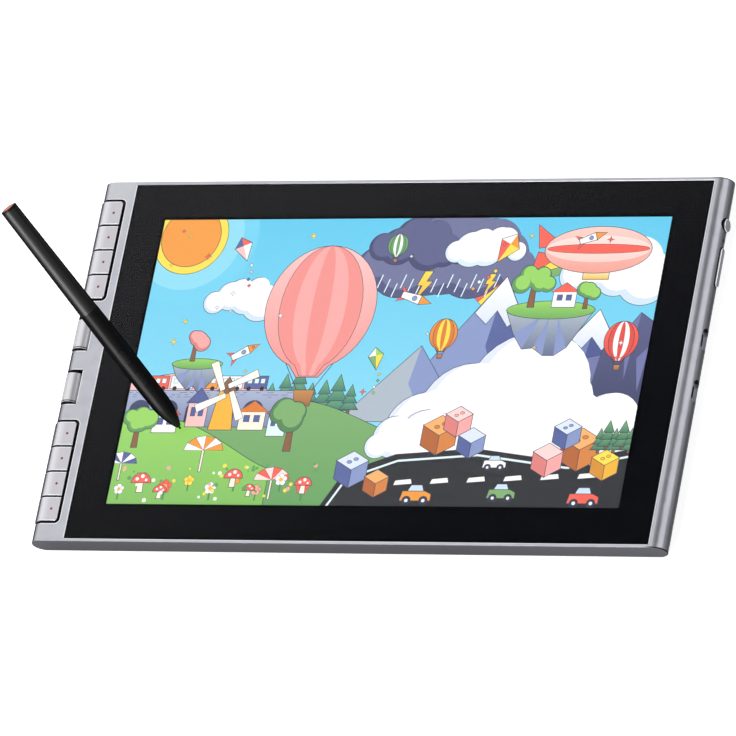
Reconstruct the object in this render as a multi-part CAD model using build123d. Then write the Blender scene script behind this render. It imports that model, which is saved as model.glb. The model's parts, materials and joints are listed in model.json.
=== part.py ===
from build123d import *

import os
from math import cos, radians, sin, sqrt

# A graphics tablet with a built-in screen, and its pen standing on the glass.
# Lengths are in millimetres. +X runs to the right along the long side, +Y to the
# top edge of the picture, and +Z out of the screen. The origin lies below the
# middle of the body, on the plane that the rubber feet stand on.

# Screen and glass
display_width = 341.0
display_height = 191.8
glass_border = 23.5
glass_thick = 1.1
glass_gap = 0.15
glass_edge = 0.2

# Body: an oval aluminium bar, cut square at its top and bottom ends
end_rim = 2.2
left_band = 24.25
right_band = 10.25
body_thick = 14.6
round_run = 7.6
end_chamfer = 0.35
pocket_chamfer = 0.2
foot_lift = 1.6

# Walls and inner spaces of the body
tape_thick = 0.2
deck_thick = 1.5
deck_ledge = 7.5
end_wall = 4.6
left_core = 20.5
right_core = 7.0
flange_thick = 1.2
flange_ledge = 5.0
cover_thick = 1.6
cover_left_margin = 21.5
cover_right_margin = 10.8
cover_end_margin = 5.6
cover_corner = 4.0
cover_gap = 0.15

# Layers behind the glass
bond_thick = 0.25
cell_thick = 1.2
cell_margin = 2.5
lower_cell_margin = 4.5
tray_thick = 2.4
tray_margin = 5.5
tray_wall = 2.0
light_bar_depth = 4.0
digitizer_thick = 0.8
shield_thick = 0.4
layer_gap = 0.05

# Express keys
keys_in_group = 4
key_roller_space = 12.1
key_end_margin = 13.5
key_gap = 1.1
key_thick = 1.6
key_proud = 0.65
key_travel = 0.5
key_clear = 0.35
key_reach = 16.95
key_inner_gap = 1.85
key_side_gap = 1.6
key_corner = 1.9
key_wrap = 3.4
key_stem_in = 4.4
key_stem_radius = 1.4
key_stem_gap = 0.4
key_floor = 1.2
key_pocket_inset = 1.6
key_edge = 0.4

# Thumb rollers
roller_radius = 6.5
roller_length = 20.5
roller_near = 6.35
roller_far = 29.7
roller_out = 0.1
roller_below_top = 0.1
roller_slot_gap = 0.4
roller_groove_width = 0.6
roller_groove_depth = 0.4
roller_groove_in = 1.05
roller_edge = 0.4
axle_radius = 1.2
axle_bite = 3.0
running_gap = 0.08
fit_gap = 0.05
encoder_wall = 1.3
encoder_size = 3.6
encoder_length = 7.0
encoder_height = 5.2

# Buttons and sockets along the right edge
side_out = 1.0
power_end_margin = 29.2
power_recess_radius = 4.7
power_radius = 4.1
power_chamfer = 0.6
power_travel = 0.5
rocker_below_power = 28.0
rocker_recess_length = 26.8
rocker_recess_width = 5.2
rocker_length = 25.6
rocker_width = 4.2
rocker_chamfer = 0.5
rocker_travel = 0.5
rocker_stem_in = 8.0
side_button_thick = 3.6
button_stem_radius = 1.2
button_stem_gap = 0.35
button_clear = 0.3
pipe_below_power = 10.3
pipe_radius = 0.6
pipe_below = 0.4
port_1_y = 16.4
port_2_y = -17.4
port_recess_length = 15.2
port_recess_width = 8.4
port_recess_depth = 2.6
port_width = 8.94
port_height = 3.26
port_wall = 0.3
port_depth = 7.4
tongue_width = 6.6
tongue_thick = 0.7
tongue_back = 1.2

# Circuit boards and what is on them
board_thick = 1.2
key_board_strip = 6.0
key_board_gap = 0.5
switch_size = 4.6
switch_height = 3.0
plunger_radius = 0.9
plunger_height = 0.5
stem_free = 0.1
side_board_depth = 17.0
side_board_over = 6.0
side_board_post_radius = 2.0
side_switch_size = 3.2
side_switch_height = 3.4
side_plunger = 0.6
led_size = 1.6
main_board_width = 150.0
main_board_height = 70.0
main_board_side_margin = 94.0
main_board_end_margin = 32.0
standoff_radius = 2.4
standoff_inset = 4.0
processor_size = 15.0
processor_height = 1.4
memory_length = 12.0
memory_width = 8.0
memory_height = 1.1
coil_size = 6.0
coil_height = 2.6
socket_length = 24.0
socket_width = 4.0
socket_height = 1.4
ribbon_width = 14.0
ribbon_thick = 0.25
ribbon_overlap = 5.0

# Fasteners and feet
screw_radius = 1.0
screw_head_radius = 1.8
screw_head_height = 0.9
screw_sink = 0.15
screw_length = 5.2
screw_socket = 0.8
screw_socket_depth = 0.6
screw_gap = 0.1
boss_radius = 2.3
boss_height = 4.2
screw_columns = 4
foot_length = 46.0
foot_width = 9.0
foot_inset_x = 42.0
foot_inset_y = 14.0
foot_seat = 0.6
foot_edge = 0.5

# Pen, measured along its axis from the writing tip
pen_length = 173.0
pen_from_left = 41.0
pen_from_bottom = 49.66
pen_tilt = 45.75
pen_heading = 131.34
nib_lift = 0.08
nib_radius = 0.7
nib_length = 17.0
nib_travel = 0.5
nib_hole_gap = 0.3
nose_start = 2.0
nose_radius = 1.45
nose_length = 19.0
nose_bulge = 2.15
grip_front_radius = 6.05
grip_waist = 46.0
grip_waist_radius = 6.35
grip_end = 92.0
grip_end_radius = 6.2
grip_bore = 4.6
barrel_radius = 6.05
barrel_end_radius = 5.35
barrel_bore = 4.3
spigot_length = 8.0
spigot_gap = 0.1
spigot_wall = 0.8
holder_start = 8.0
holder_radius = 1.8
holder_gap = 0.35
holder_chamber = 6.0
coil_start = 18.0
coil_length = 11.0
coil_clear = 0.3
sensor_length = 5.0
pen_board_start = 36.0
pen_board_end = 82.0
pen_board_thick = 1.0
pen_board_low = 0.4
pen_board_width = 8.2
pen_switch_length = 4.0
pen_switch_width = 3.4
pen_switch_height = 1.7
front_button_at = 40.6
rear_button_at = 57.3
pen_button_length = 10.4
pen_button_width = 4.0
pen_button_gap = 0.25
pen_button_proud = 0.35
pen_button_base = 4.9
pen_button_post = 0.9
pen_button_travel = 0.4
rim_length = 1.0
rim_wall = 0.6
eraser_travel = 0.5
eraser_gap = 0.3
eraser_crown = 0.45
eraser_stem = 9.0
eraser_stem_radius = 2.6
eraser_guide = 4.0

# How far a cut runs past the face that it opens
overrun = 2.0

# Sizes worked out from the driving ones
glass_width = display_width + 2 * glass_border
glass_height = display_height + 2 * glass_border
body_width = glass_width + left_band + right_band
body_height = glass_height + 2 * end_rim
glass_x = (left_band - right_band) / 2
half_width = body_width / 2
half_height = body_height / 2
body_bottom = foot_lift
body_top = foot_lift + body_thick
body_mid = foot_lift + body_thick / 2
flat_end = half_width - round_run

deck_top = body_top - glass_thick - tape_thick
deck_under = deck_top - deck_thick
cover_top = body_bottom + cover_thick
cavity_floor = cover_top + flange_thick
cavity_left = left_core - half_width
cavity_right = half_width - right_core
cavity_end = half_height - end_wall
cover_left = cover_left_margin - half_width
cover_right = half_width - cover_right_margin
cover_end = half_height - cover_end_margin

bond_bottom = body_top - glass_thick - bond_thick
cell_bottom = bond_bottom - cell_thick
tray_bottom = cell_bottom - tray_thick
digitizer_bottom = tray_bottom - digitizer_thick
shield_bottom = digitizer_bottom - shield_thick

key_inner = half_width - key_reach
key_group_near = roller_far + key_roller_space
key_group_far = half_height - key_end_margin
key_depth = key_thick - key_proud + key_travel + key_clear
key_pocket_depth = key_depth + key_floor
key_recess_right = key_inner_gap - key_inner
key_low = body_mid - key_wrap
key_stem_x = -key_inner - key_stem_in
key_pitch = (key_group_far - key_group_near + key_gap) / keys_in_group
key_board_bottom = body_bottom + key_pocket_depth
board_top = key_board_bottom + board_thick
key_stem_end = board_top + switch_height + plunger_height + key_travel + stem_free

roller_x = roller_radius - half_width - roller_out
roller_z = body_top - roller_below_top - roller_radius
roller_mid = (roller_near + roller_far) / 2
roller_slot_right = roller_x + roller_radius + roller_slot_gap

power_y = half_height - power_end_margin
pipe_y = power_y - pipe_below_power
rocker_y = power_y - rocker_below_power
side_face = half_width + side_out
side_inner = side_face - side_button_thick
port_floor = half_width - port_recess_depth
side_board_top = body_mid - port_height / 2
side_board_bottom = side_board_top - board_thick
side_board_left = cavity_right - side_board_depth
side_switch_face = cavity_right - side_switch_size / 2
main_board_x = cavity_right - main_board_side_margin - main_board_width / 2
main_board_y = main_board_height / 2 + main_board_end_margin - cavity_end


def block(x0, x1, y0, y1, z0, z1):
    """A box between two corners."""
    middle = Pos((x0 + x1) / 2, (y0 + y1) / 2, (z0 + z1) / 2)
    return middle * Box(abs(x1 - x0), abs(y1 - y0), abs(z1 - z0))


def slab(width, length, corner, z0, z1):
    """A flat plate with rounded corners, centred on the Z axis."""
    return Pos(0, 0, z0) * extrude(RectangleRounded(width, length, corner), z1 - z0)


def rod(radius, x, y, z0, z1):
    """An upright round bar."""
    return Pos(x, y, (z0 + z1) / 2) * Cylinder(radius, z1 - z0)


def rod_x(radius, y, z, x0, x1):
    """A round bar along X."""
    return Pos((x0 + x1) / 2, y, z) * Rot(0, 90, 0) * Cylinder(radius, x1 - x0)


def rod_y(radius, x, z, y0, y1):
    """A round bar along Y."""
    return Pos(x, (y0 + y1) / 2, z) * Rot(90, 0, 0) * Cylinder(radius, y1 - y0)


def pill_x(length, width, y, z, x0, x1):
    """A bar along X whose section is a slot, long in Y."""
    section = Plane((x0, y, z), x_dir=(0, 1, 0), z_dir=(1, 0, 0)) * SlotOverall(length, width)
    return extrude(section, x1 - x0)


def oval_bar(inset, y0, y1):
    """The body's oval section, drawn in all round by inset, run from y0 to y1."""
    height = body_thick - 2 * inset
    section = Rectangle(2 * flat_end, height)
    for side in (-1, 1):
        section += Pos(side * flat_end, 0) * Ellipse(round_run - inset, height / 2)
    bar = extrude(Plane((0, y1, body_mid), x_dir=(1, 0, 0), z_dir=(0, -1, 0)) * section, y1 - y0)
    return bar


def save(node, shape):
    """Write one sub-part to its own file."""
    export_step(shape, "parts/" + node + ".step")


def key_zone(group, grow):
    """The plan of one key group, its two inner corners rounded, run right up and down."""
    right = -key_inner + grow
    corner = key_corner + grow
    near = key_group_near - grow
    far = key_group_far + grow
    left = -half_width - 2 * corner
    plan = RectangleRounded(right - left, far - near, corner)
    middle = Pos((left + right) / 2, group * (near + far) / 2, -overrun)
    return middle * extrude(plan, body_top + 2 * overrun)


def key_spot(group, index):
    """The middle of one key along Y, counted outwards from the rollers."""
    return group * (key_group_near - key_gap / 2 + key_pitch * (index + 0.5))


def key_recess(group):
    """What is cut from the body so that a key group can sit and travel in it."""
    low = key_low - key_travel - key_clear
    far = key_group_far + key_inner_gap + overrun
    skin = oval_bar(-overrun, -far, far) - oval_bar(key_depth, -far, far)
    plan = key_zone(group, key_side_gap)
    plan += Pos(key_inner_gap - key_side_gap, 0, 0) * plan
    upper = block(-half_width - overrun, key_recess_right, -far, far, low, body_top + overrun)
    return skin & plan & upper


def key_pocket(group):
    """The room under a key group's floor, for its board and switches."""
    near = key_group_near + key_pocket_inset
    far = key_group_far - key_pocket_inset
    room = oval_bar(key_pocket_depth, -far, far)
    middle = group * (near + far) / 2
    half = (far - near) / 2
    reach = block(-half_width, cavity_left + overrun, middle - half, middle + half, 0, deck_under)
    return room & reach


def roller_slot(side):
    """The notch that one roller turns in, open over the top and the outer edge."""
    radius = roller_radius + roller_slot_gap
    y0, y1 = sorted((side * roller_near, side * roller_far))
    notch = rod_y(radius, roller_x, roller_z, y0, y1)
    notch += block(-half_width - overrun, roller_x, y0, y1, 0, body_top + overrun)
    notch += block(roller_x, roller_slot_right, y0, y1, roller_z, body_top + overrun)
    return notch


def encoder_pocket(side):
    """The room between a roller's notch and the main space, for its encoder."""
    half = encoder_length / 2 + overrun
    y = side * roller_mid
    left = roller_slot_right + encoder_wall
    return block(left, cavity_left + overrun, y - half, y + half, key_board_bottom, deck_under)


def screw_places():
    """The middles of the rear screws, along the top and bottom edges of the cover."""
    places = []
    inset = flange_ledge / 2
    run = cover_right - cover_left - 2 * inset
    for column in range(screw_columns):
        x = cover_left + inset + run * column / (screw_columns - 1)
        places.append((x, cover_end - inset))
        places.append((x, inset - cover_end))
    return places


def unibody_frame():
    """The aluminium body, with every space and opening that the other pieces need."""
    body = oval_bar(0, -half_height, half_height)
    ends = body.faces().filter_by(Axis.Y)
    body = chamfer(ends.edges(), end_chamfer)

    half_x = glass_width / 2 + glass_gap
    half_y = glass_height / 2 + glass_gap
    above = body_top + overrun
    body -= block(glass_x - half_x, glass_x + half_x, -half_y, half_y, deck_top, above)
    lips = body.faces().filter_by(Axis.Z).sort_by(Axis.Z)[-1].inner_wires()[0]
    body = chamfer(lips.edges(), pocket_chamfer)

    well_x = glass_width / 2 - deck_ledge
    well_y = glass_height / 2 - deck_ledge
    below = deck_under - overrun
    body -= block(glass_x - well_x, glass_x + well_x, -well_y, well_y, below, above)
    body -= block(cavity_left, cavity_right, -cavity_end, cavity_end, cavity_floor, deck_under)

    seat = slab(cover_right - cover_left, 2 * cover_end, cover_corner, -overrun, cover_top)
    hole = slab(
        cover_right - cover_left - 2 * flange_ledge,
        2 * cover_end - 2 * flange_ledge,
        cover_corner,
        -overrun,
        cavity_floor,
    )
    body -= Pos((cover_left + cover_right) / 2, 0, 0) * (seat + hole)

    for x, y in screw_places():
        body += rod(boss_radius, x, y, cavity_floor, cavity_floor + boss_height)
    for x, y in screw_places():
        body -= rod(screw_radius + screw_gap, x, y, 0, cover_top + screw_length)

    for group in (-1, 1):
        body -= key_recess(group)
        body -= key_pocket(group)
        for index in range(keys_in_group):
            y = key_spot(group, index)
            body -= rod(key_stem_radius + key_stem_gap, key_stem_x, y, board_top, above)

    for side in (-1, 1):
        body -= roller_slot(side)
        body -= encoder_pocket(side)
        y0, y1 = sorted((side * (roller_near - axle_bite), side * (roller_far + axle_bite)))
        body -= rod_y(axle_radius + fit_gap, roller_x, roller_z, y0, y1)

    outer = half_width + overrun
    inner = cavity_right - overrun
    hole = button_stem_radius + button_stem_gap
    floor = side_inner - power_travel - button_clear
    body -= rod_x(power_recess_radius, power_y, body_mid, floor, outer)
    body -= rod_x(hole, power_y, body_mid, inner, outer)
    floor = side_inner - rocker_travel - button_clear
    body -= pill_x(
        rocker_recess_length, rocker_recess_width, rocker_y, body_mid, floor, outer
    )
    for way in (-1, 1):
        body -= rod_x(hole, rocker_y + way * rocker_stem_in, body_mid, inner, outer)
    body -= rod_x(pipe_radius + fit_gap, pipe_y, body_mid + pipe_below, inner, outer)
    for y in (port_1_y, port_2_y):
        body -= pill_x(port_recess_length, port_recess_width, y, body_mid, port_floor, outer)
        shell_length = port_width + 2 * fit_gap
        shell_height = port_height + 2 * fit_gap
        body -= pill_x(shell_length, shell_height, y, body_mid, inner, outer)

    for y in side_board_posts():
        post_x = cavity_right - flange_ledge
        body += rod(side_board_post_radius, post_x, y, cavity_floor, side_board_bottom)
    return body


def side_board_posts():
    """Where the body carries the side board, between the sockets and buttons."""
    low = (port_2_y + port_1_y) / 2
    high = (power_y + pipe_y) / 2
    return (low, (port_1_y + rocker_y) / 2, high)


def cover_foot_places():
    """The middles of the rubber feet, near the corners of the rear cover."""
    middle = (cover_left + cover_right) / 2
    reach_x = (cover_right - cover_left) / 2 - foot_inset_x
    reach_y = cover_end - foot_inset_y
    return [(middle + a * reach_x, b * reach_y) for a in (-1, 1) for b in (-1, 1)]


def main_board_corners(inset):
    """The four corners of the main board, drawn in by inset."""
    half_x = main_board_width / 2 - inset
    half_y = main_board_height / 2 - inset
    return [
        (main_board_x + a * half_x, main_board_y + b * half_y) for a in (-1, 1) for b in (-1, 1)
    ]


def rear_cover():
    """The plate that closes the back, with foot seats, screw seats and standoffs."""
    width = cover_right - cover_left - 2 * cover_gap
    length = 2 * cover_end - 2 * cover_gap
    middle = (cover_left + cover_right) / 2
    plate = Pos(middle, 0, 0) * slab(width, length, cover_corner, body_bottom, cover_top)
    head_top = body_bottom + screw_sink + screw_head_height
    for x, y in screw_places():
        plate -= rod(screw_head_radius + screw_gap, x, y, 0, head_top)
        plate -= rod(screw_radius + screw_gap, x, y, 0, cover_top + overrun)
    for x, y in cover_foot_places():
        seat = SlotOverall(foot_length + 2 * fit_gap, foot_width + 2 * fit_gap)
        plate -= Pos(x, y, 0) * extrude(seat, body_bottom + foot_seat)
    board_bottom = board_top - board_thick
    for x, y in main_board_corners(standoff_inset):
        plate += rod(standoff_radius, x, y, cover_top, board_bottom)
        plate -= rod(screw_radius + screw_gap, x, y, cover_top, board_bottom)
    return plate


def rubber_feet():
    """Four long pads that the tablet stands on."""
    feet = []
    for x, y in cover_foot_places():
        pad = extrude(SlotOverall(foot_length, foot_width), body_bottom + foot_seat)
        lower = pad.faces().sort_by(Axis.Z)[0]
        pad = fillet(lower.edges(), foot_edge)
        feet.append(Pos(x, y, 0) * pad)
    return feet


def screw(head_z, tip_z, x, y):
    """One round-headed screw with a hexagon socket, its head at head_z."""
    way = 1 if tip_z > head_z else -1
    neck_z = head_z + way * screw_head_height
    head = rod(screw_head_radius, x, y, min(head_z, neck_z), max(head_z, neck_z))
    shank = rod(screw_radius, x, y, min(neck_z, tip_z), max(neck_z, tip_z))
    socket = extrude(RegularPolygon(screw_socket, 6), screw_socket_depth, both=True)
    return head + shank - Pos(x, y, head_z) * socket


def rear_screws():
    """The screws that hold the rear cover."""
    head = body_bottom + screw_sink
    tip = cover_top + screw_length - screw_sink
    return [screw(head, tip, x, y) for x, y in screw_places()]


def board_screws():
    """The screws that hold the main board to the standoffs of the cover."""
    head = board_top + screw_head_height
    corners = main_board_corners(standoff_inset)
    return [screw(head, cover_top + screw_sink, x, y) for x, y in corners]


def cover_glass():
    """The sheet of glass over the whole front, square at its corners."""
    half_x = glass_width / 2
    half_y = glass_height / 2
    bottom = body_top - glass_thick
    sheet = block(glass_x - half_x, glass_x + half_x, -half_y, half_y, bottom, body_top)
    return chamfer(sheet.faces().sort_by(Axis.Z)[-1].edges(), glass_edge)


def glass_tape():
    """The adhesive frame between the glass and the ledge of the body."""
    half_x = glass_width / 2
    half_y = glass_height / 2
    top = body_top - glass_thick
    ring = block(glass_x - half_x, glass_x + half_x, -half_y, half_y, deck_top, top)
    half_x -= deck_ledge
    half_y -= deck_ledge
    return ring - block(glass_x - half_x, glass_x + half_x, -half_y, half_y, deck_top, top)


def layer(side, upper, lower, z0, z1):
    """A sheet over the picture area, with its own margins round it."""
    x = display_width / 2 + side
    y = display_height / 2
    return block(glass_x - x, glass_x + x, -y - lower, y + upper, z0, z1)


def lcd_cell():
    """The liquid crystal cell."""
    return layer(cell_margin, cell_margin, lower_cell_margin, cell_bottom, bond_bottom)


def backlight_tray():
    """The shallow tray round the light guide."""
    margin = tray_margin
    tray = layer(margin, margin, margin, tray_bottom, cell_bottom)
    margin -= tray_wall
    floor = tray_bottom + shield_thick
    return tray - layer(margin, margin, margin, floor, cell_bottom)


def light_guide():
    """The clear plate that spreads the light."""
    margin = tray_margin - tray_wall - layer_gap
    floor = tray_bottom + shield_thick
    plate = layer(margin, margin, margin, floor, cell_bottom)
    return plate - light_bar_room()


def light_bar_room():
    """The strip along the lower edge that the lamps take from the light guide."""
    margin = tray_margin - tray_wall
    floor = tray_bottom + shield_thick
    edge = -display_height / 2 - margin
    half_x = display_width / 2 + margin
    top = edge + light_bar_depth
    return block(glass_x - half_x, glass_x + half_x, edge, top, floor, cell_bottom)


def light_bar():
    """The strip of lamps along the lower edge of the light guide."""
    margin = tray_margin - tray_wall
    floor = tray_bottom + shield_thick
    edge = -display_height / 2 - margin
    half_x = display_width / 2 + margin - layer_gap
    top = edge + light_bar_depth - layer_gap
    high = cell_bottom - layer_gap
    return block(glass_x - half_x, glass_x + half_x, edge + layer_gap, top, floor, high)


def outer_rim(key):
    """The edges round a key's touch surface, which is a flat face and a curved one."""
    flat = key.faces().sort_by(Axis.Z)[-1].edges()
    curved = key.faces().sort_by(Axis.X)[0].edges()
    rim = [edge for edge in flat if not any(edge.is_same(other) for other in curved)]
    rim += [edge for edge in curved if not any(edge.is_same(other) for other in flat)]
    return ShapeList(rim)


def express_key(group, index):
    """One key: a piece of the oval skin that stands a little proud, with its stem."""
    far = key_group_far + overrun
    skin = oval_bar(-key_proud, -far, far) - oval_bar(key_thick - key_proud, -far, far)
    half = (key_pitch - key_gap) / 2
    y = key_spot(group, index)
    room = block(-half_width - overrun, 0, y - half, y + half, key_low, body_top + overrun)
    key = skin & key_zone(group, 0) & room
    key = fillet(outer_rim(key), key_edge)
    top = body_top + key_proud - key_thick / 2
    return key + rod(key_stem_radius, key_stem_x, y, key_stem_end, top)


def key_board():
    """The board along the left edge: one strip, with a tab into each pocket."""
    strip_left = cavity_left + key_board_gap
    strip_right = strip_left + key_board_strip
    far = key_group_far - key_pocket_inset - key_board_gap
    near = key_group_near + key_pocket_inset + key_board_gap
    board = block(strip_left, strip_right, -far, far, key_board_bottom, board_top)
    for group in (-1, 1):
        y0, y1 = sorted((group * near, group * far))
        board += block(-flat_end, strip_right, y0, y1, key_board_bottom, board_top)
        left = roller_slot_right + encoder_wall + key_board_gap
        y = group * roller_mid
        half = encoder_length / 2 + key_board_gap
        board += block(left, strip_right, y - half, y + half, key_board_bottom, board_top)
    return board


def key_switches():
    """A push switch under the stem of every key."""
    switches = []
    half = switch_size / 2
    for group in (-1, 1):
        for index in range(keys_in_group):
            x, y = key_stem_x, key_spot(group, index)
            top = board_top + switch_height
            case = block(x - half, x + half, y - half, y + half, board_top, top)
            switches.append(case + rod(plunger_radius, x, y, top, top + plunger_height))
    return switches


def roller_barrel(side):
    """One thumb roller, with a groove near its lower end and a bore for its axle."""
    half = roller_length / 2
    y = side * roller_mid
    barrel = rod_y(roller_radius, roller_x, roller_z, y - half, y + half)
    barrel = chamfer(barrel.edges().filter_by(GeomType.CIRCLE), roller_edge)
    y0 = y - half + roller_groove_in
    y1 = y0 + roller_groove_width
    ring = rod_y(roller_radius + overrun, roller_x, roller_z, y0, y1)
    core = rod_y(roller_radius - roller_groove_depth, roller_x, roller_z, y0, y1)
    barrel -= ring - core
    return barrel - rod_y(axle_radius + running_gap, roller_x, roller_z, y - half, y + half)


def roller_axles():
    """The two pins that the rollers turn on."""
    axles = []
    for side in (-1, 1):
        y0, y1 = sorted((side * (roller_near - axle_bite), side * (roller_far + axle_bite)))
        axles.append(rod_y(axle_radius, roller_x, roller_z, y0 + fit_gap, y1 - fit_gap))
    return axles


def roller_encoders():
    """A sensor on the key board beside each roller."""
    sensors = []
    left = roller_slot_right + encoder_wall + key_board_gap
    half = encoder_length / 2
    for side in (-1, 1):
        y = side * roller_mid
        high = board_top + encoder_height
        sensors.append(block(left, left + encoder_size, y - half, y + half, board_top, high))
    return sensors


def side_stem(y, travel):
    """The stem of a side button, from its cap to just short of its switch."""
    end = side_switch_face + side_plunger + travel + stem_free
    return rod_x(button_stem_radius, y, body_mid, end, side_inner + side_button_thick / 2)


def power_button():
    """The round power button."""
    cap = rod_x(power_radius, power_y, body_mid, side_inner, side_face)
    rim = cap.edges().filter_by(GeomType.CIRCLE).sort_by(Axis.X)[-1]
    return chamfer(rim, power_chamfer) + side_stem(power_y, power_travel)


def rocker_button():
    """The long rocker button."""
    cap = pill_x(rocker_length, rocker_width, rocker_y, body_mid, side_inner, side_face)
    outer = cap.faces().sort_by(Axis.X)[-1]
    cap = chamfer(outer.edges(), rocker_chamfer)
    for way in (-1, 1):
        cap += side_stem(rocker_y + way * rocker_stem_in, rocker_travel)
    return cap


def status_pipe():
    """The light pipe that shows the status lamp in the right edge."""
    z = body_mid + pipe_below
    outer = flat_end + round_run * sqrt(1 - (pipe_below / (body_thick / 2)) ** 2)
    return rod_x(pipe_radius, pipe_y, z, cavity_right - fit_gap, outer - fit_gap)


def side_board():
    """The board along the right edge, under the sockets and button switches."""
    low = port_2_y - port_width / 2 - side_board_over
    high = power_y + side_switch_size + side_board_over / 2
    right = cavity_right - fit_gap
    return block(side_board_left, right, low, high, side_board_bottom, side_board_top)


def side_switches():
    """The side-pushed switches of the power and rocker buttons, and the status lamp."""
    pieces = []
    half = side_switch_size / 2
    for y in (power_y, rocker_y - rocker_stem_in, rocker_y + rocker_stem_in):
        left = side_switch_face - side_switch_size
        high = side_board_top + side_switch_height
        case = block(left, side_switch_face, y - half, y + half, side_board_top, high)
        tip = side_switch_face + side_plunger
        pieces.append(case + rod_x(plunger_radius, y, body_mid, side_switch_face, tip))
    half = led_size / 2
    right = cavity_right - 3 * fit_gap
    high = body_mid + pipe_below + half
    left = right - led_size
    pieces.append(block(left, right, pipe_y - half, pipe_y + half, side_board_top, high))
    return pieces


def port_shell(y):
    """The steel shell of one USB-C socket, closed at its back."""
    back = port_floor - port_depth
    shell = pill_x(port_width, port_height, y, body_mid, back, port_floor)
    inside = port_width - 2 * port_wall
    hollow = pill_x(inside, port_height - 2 * port_wall, y, body_mid, back + tongue_back, port_floor)
    return shell - hollow


def port_tongues():
    """The contact tongue inside each socket."""
    tongues = []
    left = port_floor - port_depth + tongue_back
    for y in (port_1_y, port_2_y):
        half = tongue_width / 2
        half_z = tongue_thick / 2
        right = port_floor - tongue_back
        z0, z1 = body_mid - half_z, body_mid + half_z
        tongues.append(block(left, right, y - half, y + half, z0, z1))
    return tongues


def main_board():
    """The main circuit board, on the standoffs of the rear cover."""
    half_x = main_board_width / 2
    half_y = main_board_height / 2
    x0, x1 = main_board_x - half_x, main_board_x + half_x
    y0, y1 = main_board_y - half_y, main_board_y + half_y
    board = block(x0, x1, y0, y1, board_top - board_thick, board_top)
    for x, y in main_board_corners(standoff_inset):
        board -= rod(screw_radius + screw_gap, x, y, 0, body_top)
    return board


# Where the parts of the main board stand, as shares of its half sizes
chip_shares = (
    ("processor", -0.1, 0.1),
    ("memory", 0.22, 0.35),
    ("memory", 0.22, -0.1),
    ("coil", 0.72, 0.4),
    ("coil", 0.72, -0.1),
    ("socket", -0.45, -0.75),
    ("socket", 0.4, -0.75),
)


def board_chips():
    """The larger parts on the main board."""
    sizes = {
        "processor": (processor_size, processor_size, processor_height),
        "memory": (memory_length, memory_width, memory_height),
        "coil": (coil_size, coil_size, coil_height),
        "socket": (socket_length, socket_width, socket_height),
    }
    chips = []
    for name, x_share, y_share in chip_shares:
        length, width, height = sizes[name]
        x = main_board_x + x_share * main_board_width / 2
        y = main_board_y + y_share * main_board_height / 2
        x0, x1 = x - length / 2, x + length / 2
        chips.append(block(x0, x1, y - width / 2, y + width / 2, board_top, board_top + height))
    return chips


def strip(x0, x1, y, z):
    """A flat run of ribbon cable, its underside at z."""
    half = ribbon_width / 2
    return block(x0, x1, y - half, y + half, z, z + ribbon_thick)


def key_ribbon():
    """The flat cable from the key board to the main board."""
    left = cavity_left + key_board_strip - ribbon_overlap + key_board_gap
    right = main_board_x - main_board_width / 2 + ribbon_overlap
    return strip(left, right, main_board_y + standoff_inset, board_top)


def side_ribbon():
    """The flat cable from the main board up to the side board."""
    y = (port_2_y + port_1_y) / 2 - ribbon_width / 2
    y = min(y, main_board_y + main_board_height / 2 - ribbon_width)
    left = main_board_x + main_board_width / 2 - ribbon_overlap
    bend = side_board_left - ribbon_overlap
    low = strip(left, bend, y, board_top)
    half = ribbon_width / 2
    riser = block(bend - ribbon_thick, bend, y - half, y + half, board_top, side_board_top)
    high = strip(bend - ribbon_thick, side_board_left + ribbon_overlap, y, side_board_top)
    return low + riser + high


def display_ribbon():
    """The flat cable from the back of the screen, folded down to the main board."""
    y = main_board_y + main_board_height / 2 + standoff_inset
    x = main_board_x
    half = ribbon_width / 2
    top = shield_bottom
    low_end = y - 2 * ribbon_overlap
    upper = block(x - half, x + half, low_end, y, top - ribbon_thick, top)
    riser = block(x - half, x + half, y - ribbon_thick, y, board_top, top)
    lower = block(x - half, x + half, low_end, y, board_top, board_top + ribbon_thick)
    return upper + riser + lower


# The pen stands on the glass, leaning towards the top left corner. Its own frame
# has Z along the axis from the tip to the end, and X towards its side buttons.
pen_plan = cos(radians(pen_tilt))
pen_axis = Vector(
    pen_plan * cos(radians(pen_heading)),
    pen_plan * sin(radians(pen_heading)),
    sin(radians(pen_tilt)),
)
pen_tip_rise = nib_lift + nib_radius * (1 - sin(radians(pen_tilt)))
pen_tip_x = glass_x - display_width / 2 + pen_from_left
pen_tip_y = pen_from_bottom - display_height / 2
pen_tip = Vector(pen_tip_x, pen_tip_y, body_top + pen_tip_rise)
button_side = Vector(0.427, -0.377, 0.822)
button_out = (button_side - pen_axis * button_side.dot(pen_axis)).normalized()
pen_frame = Plane(origin=pen_tip, x_dir=button_out, z_dir=pen_axis)
barrel_end = pen_length - rim_length - eraser_crown
rim_end = barrel_end + rim_length


def in_pen(shape):
    """Take a solid from the pen's own frame to its place on the glass."""
    return pen_frame.location * shape


def tube(radius, bore, s0, s1):
    """A round tube along the pen's axis."""
    return rod(radius, 0, 0, s0, s1) - rod(bore, 0, 0, s0 - overrun, s1 + overrun)


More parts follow.
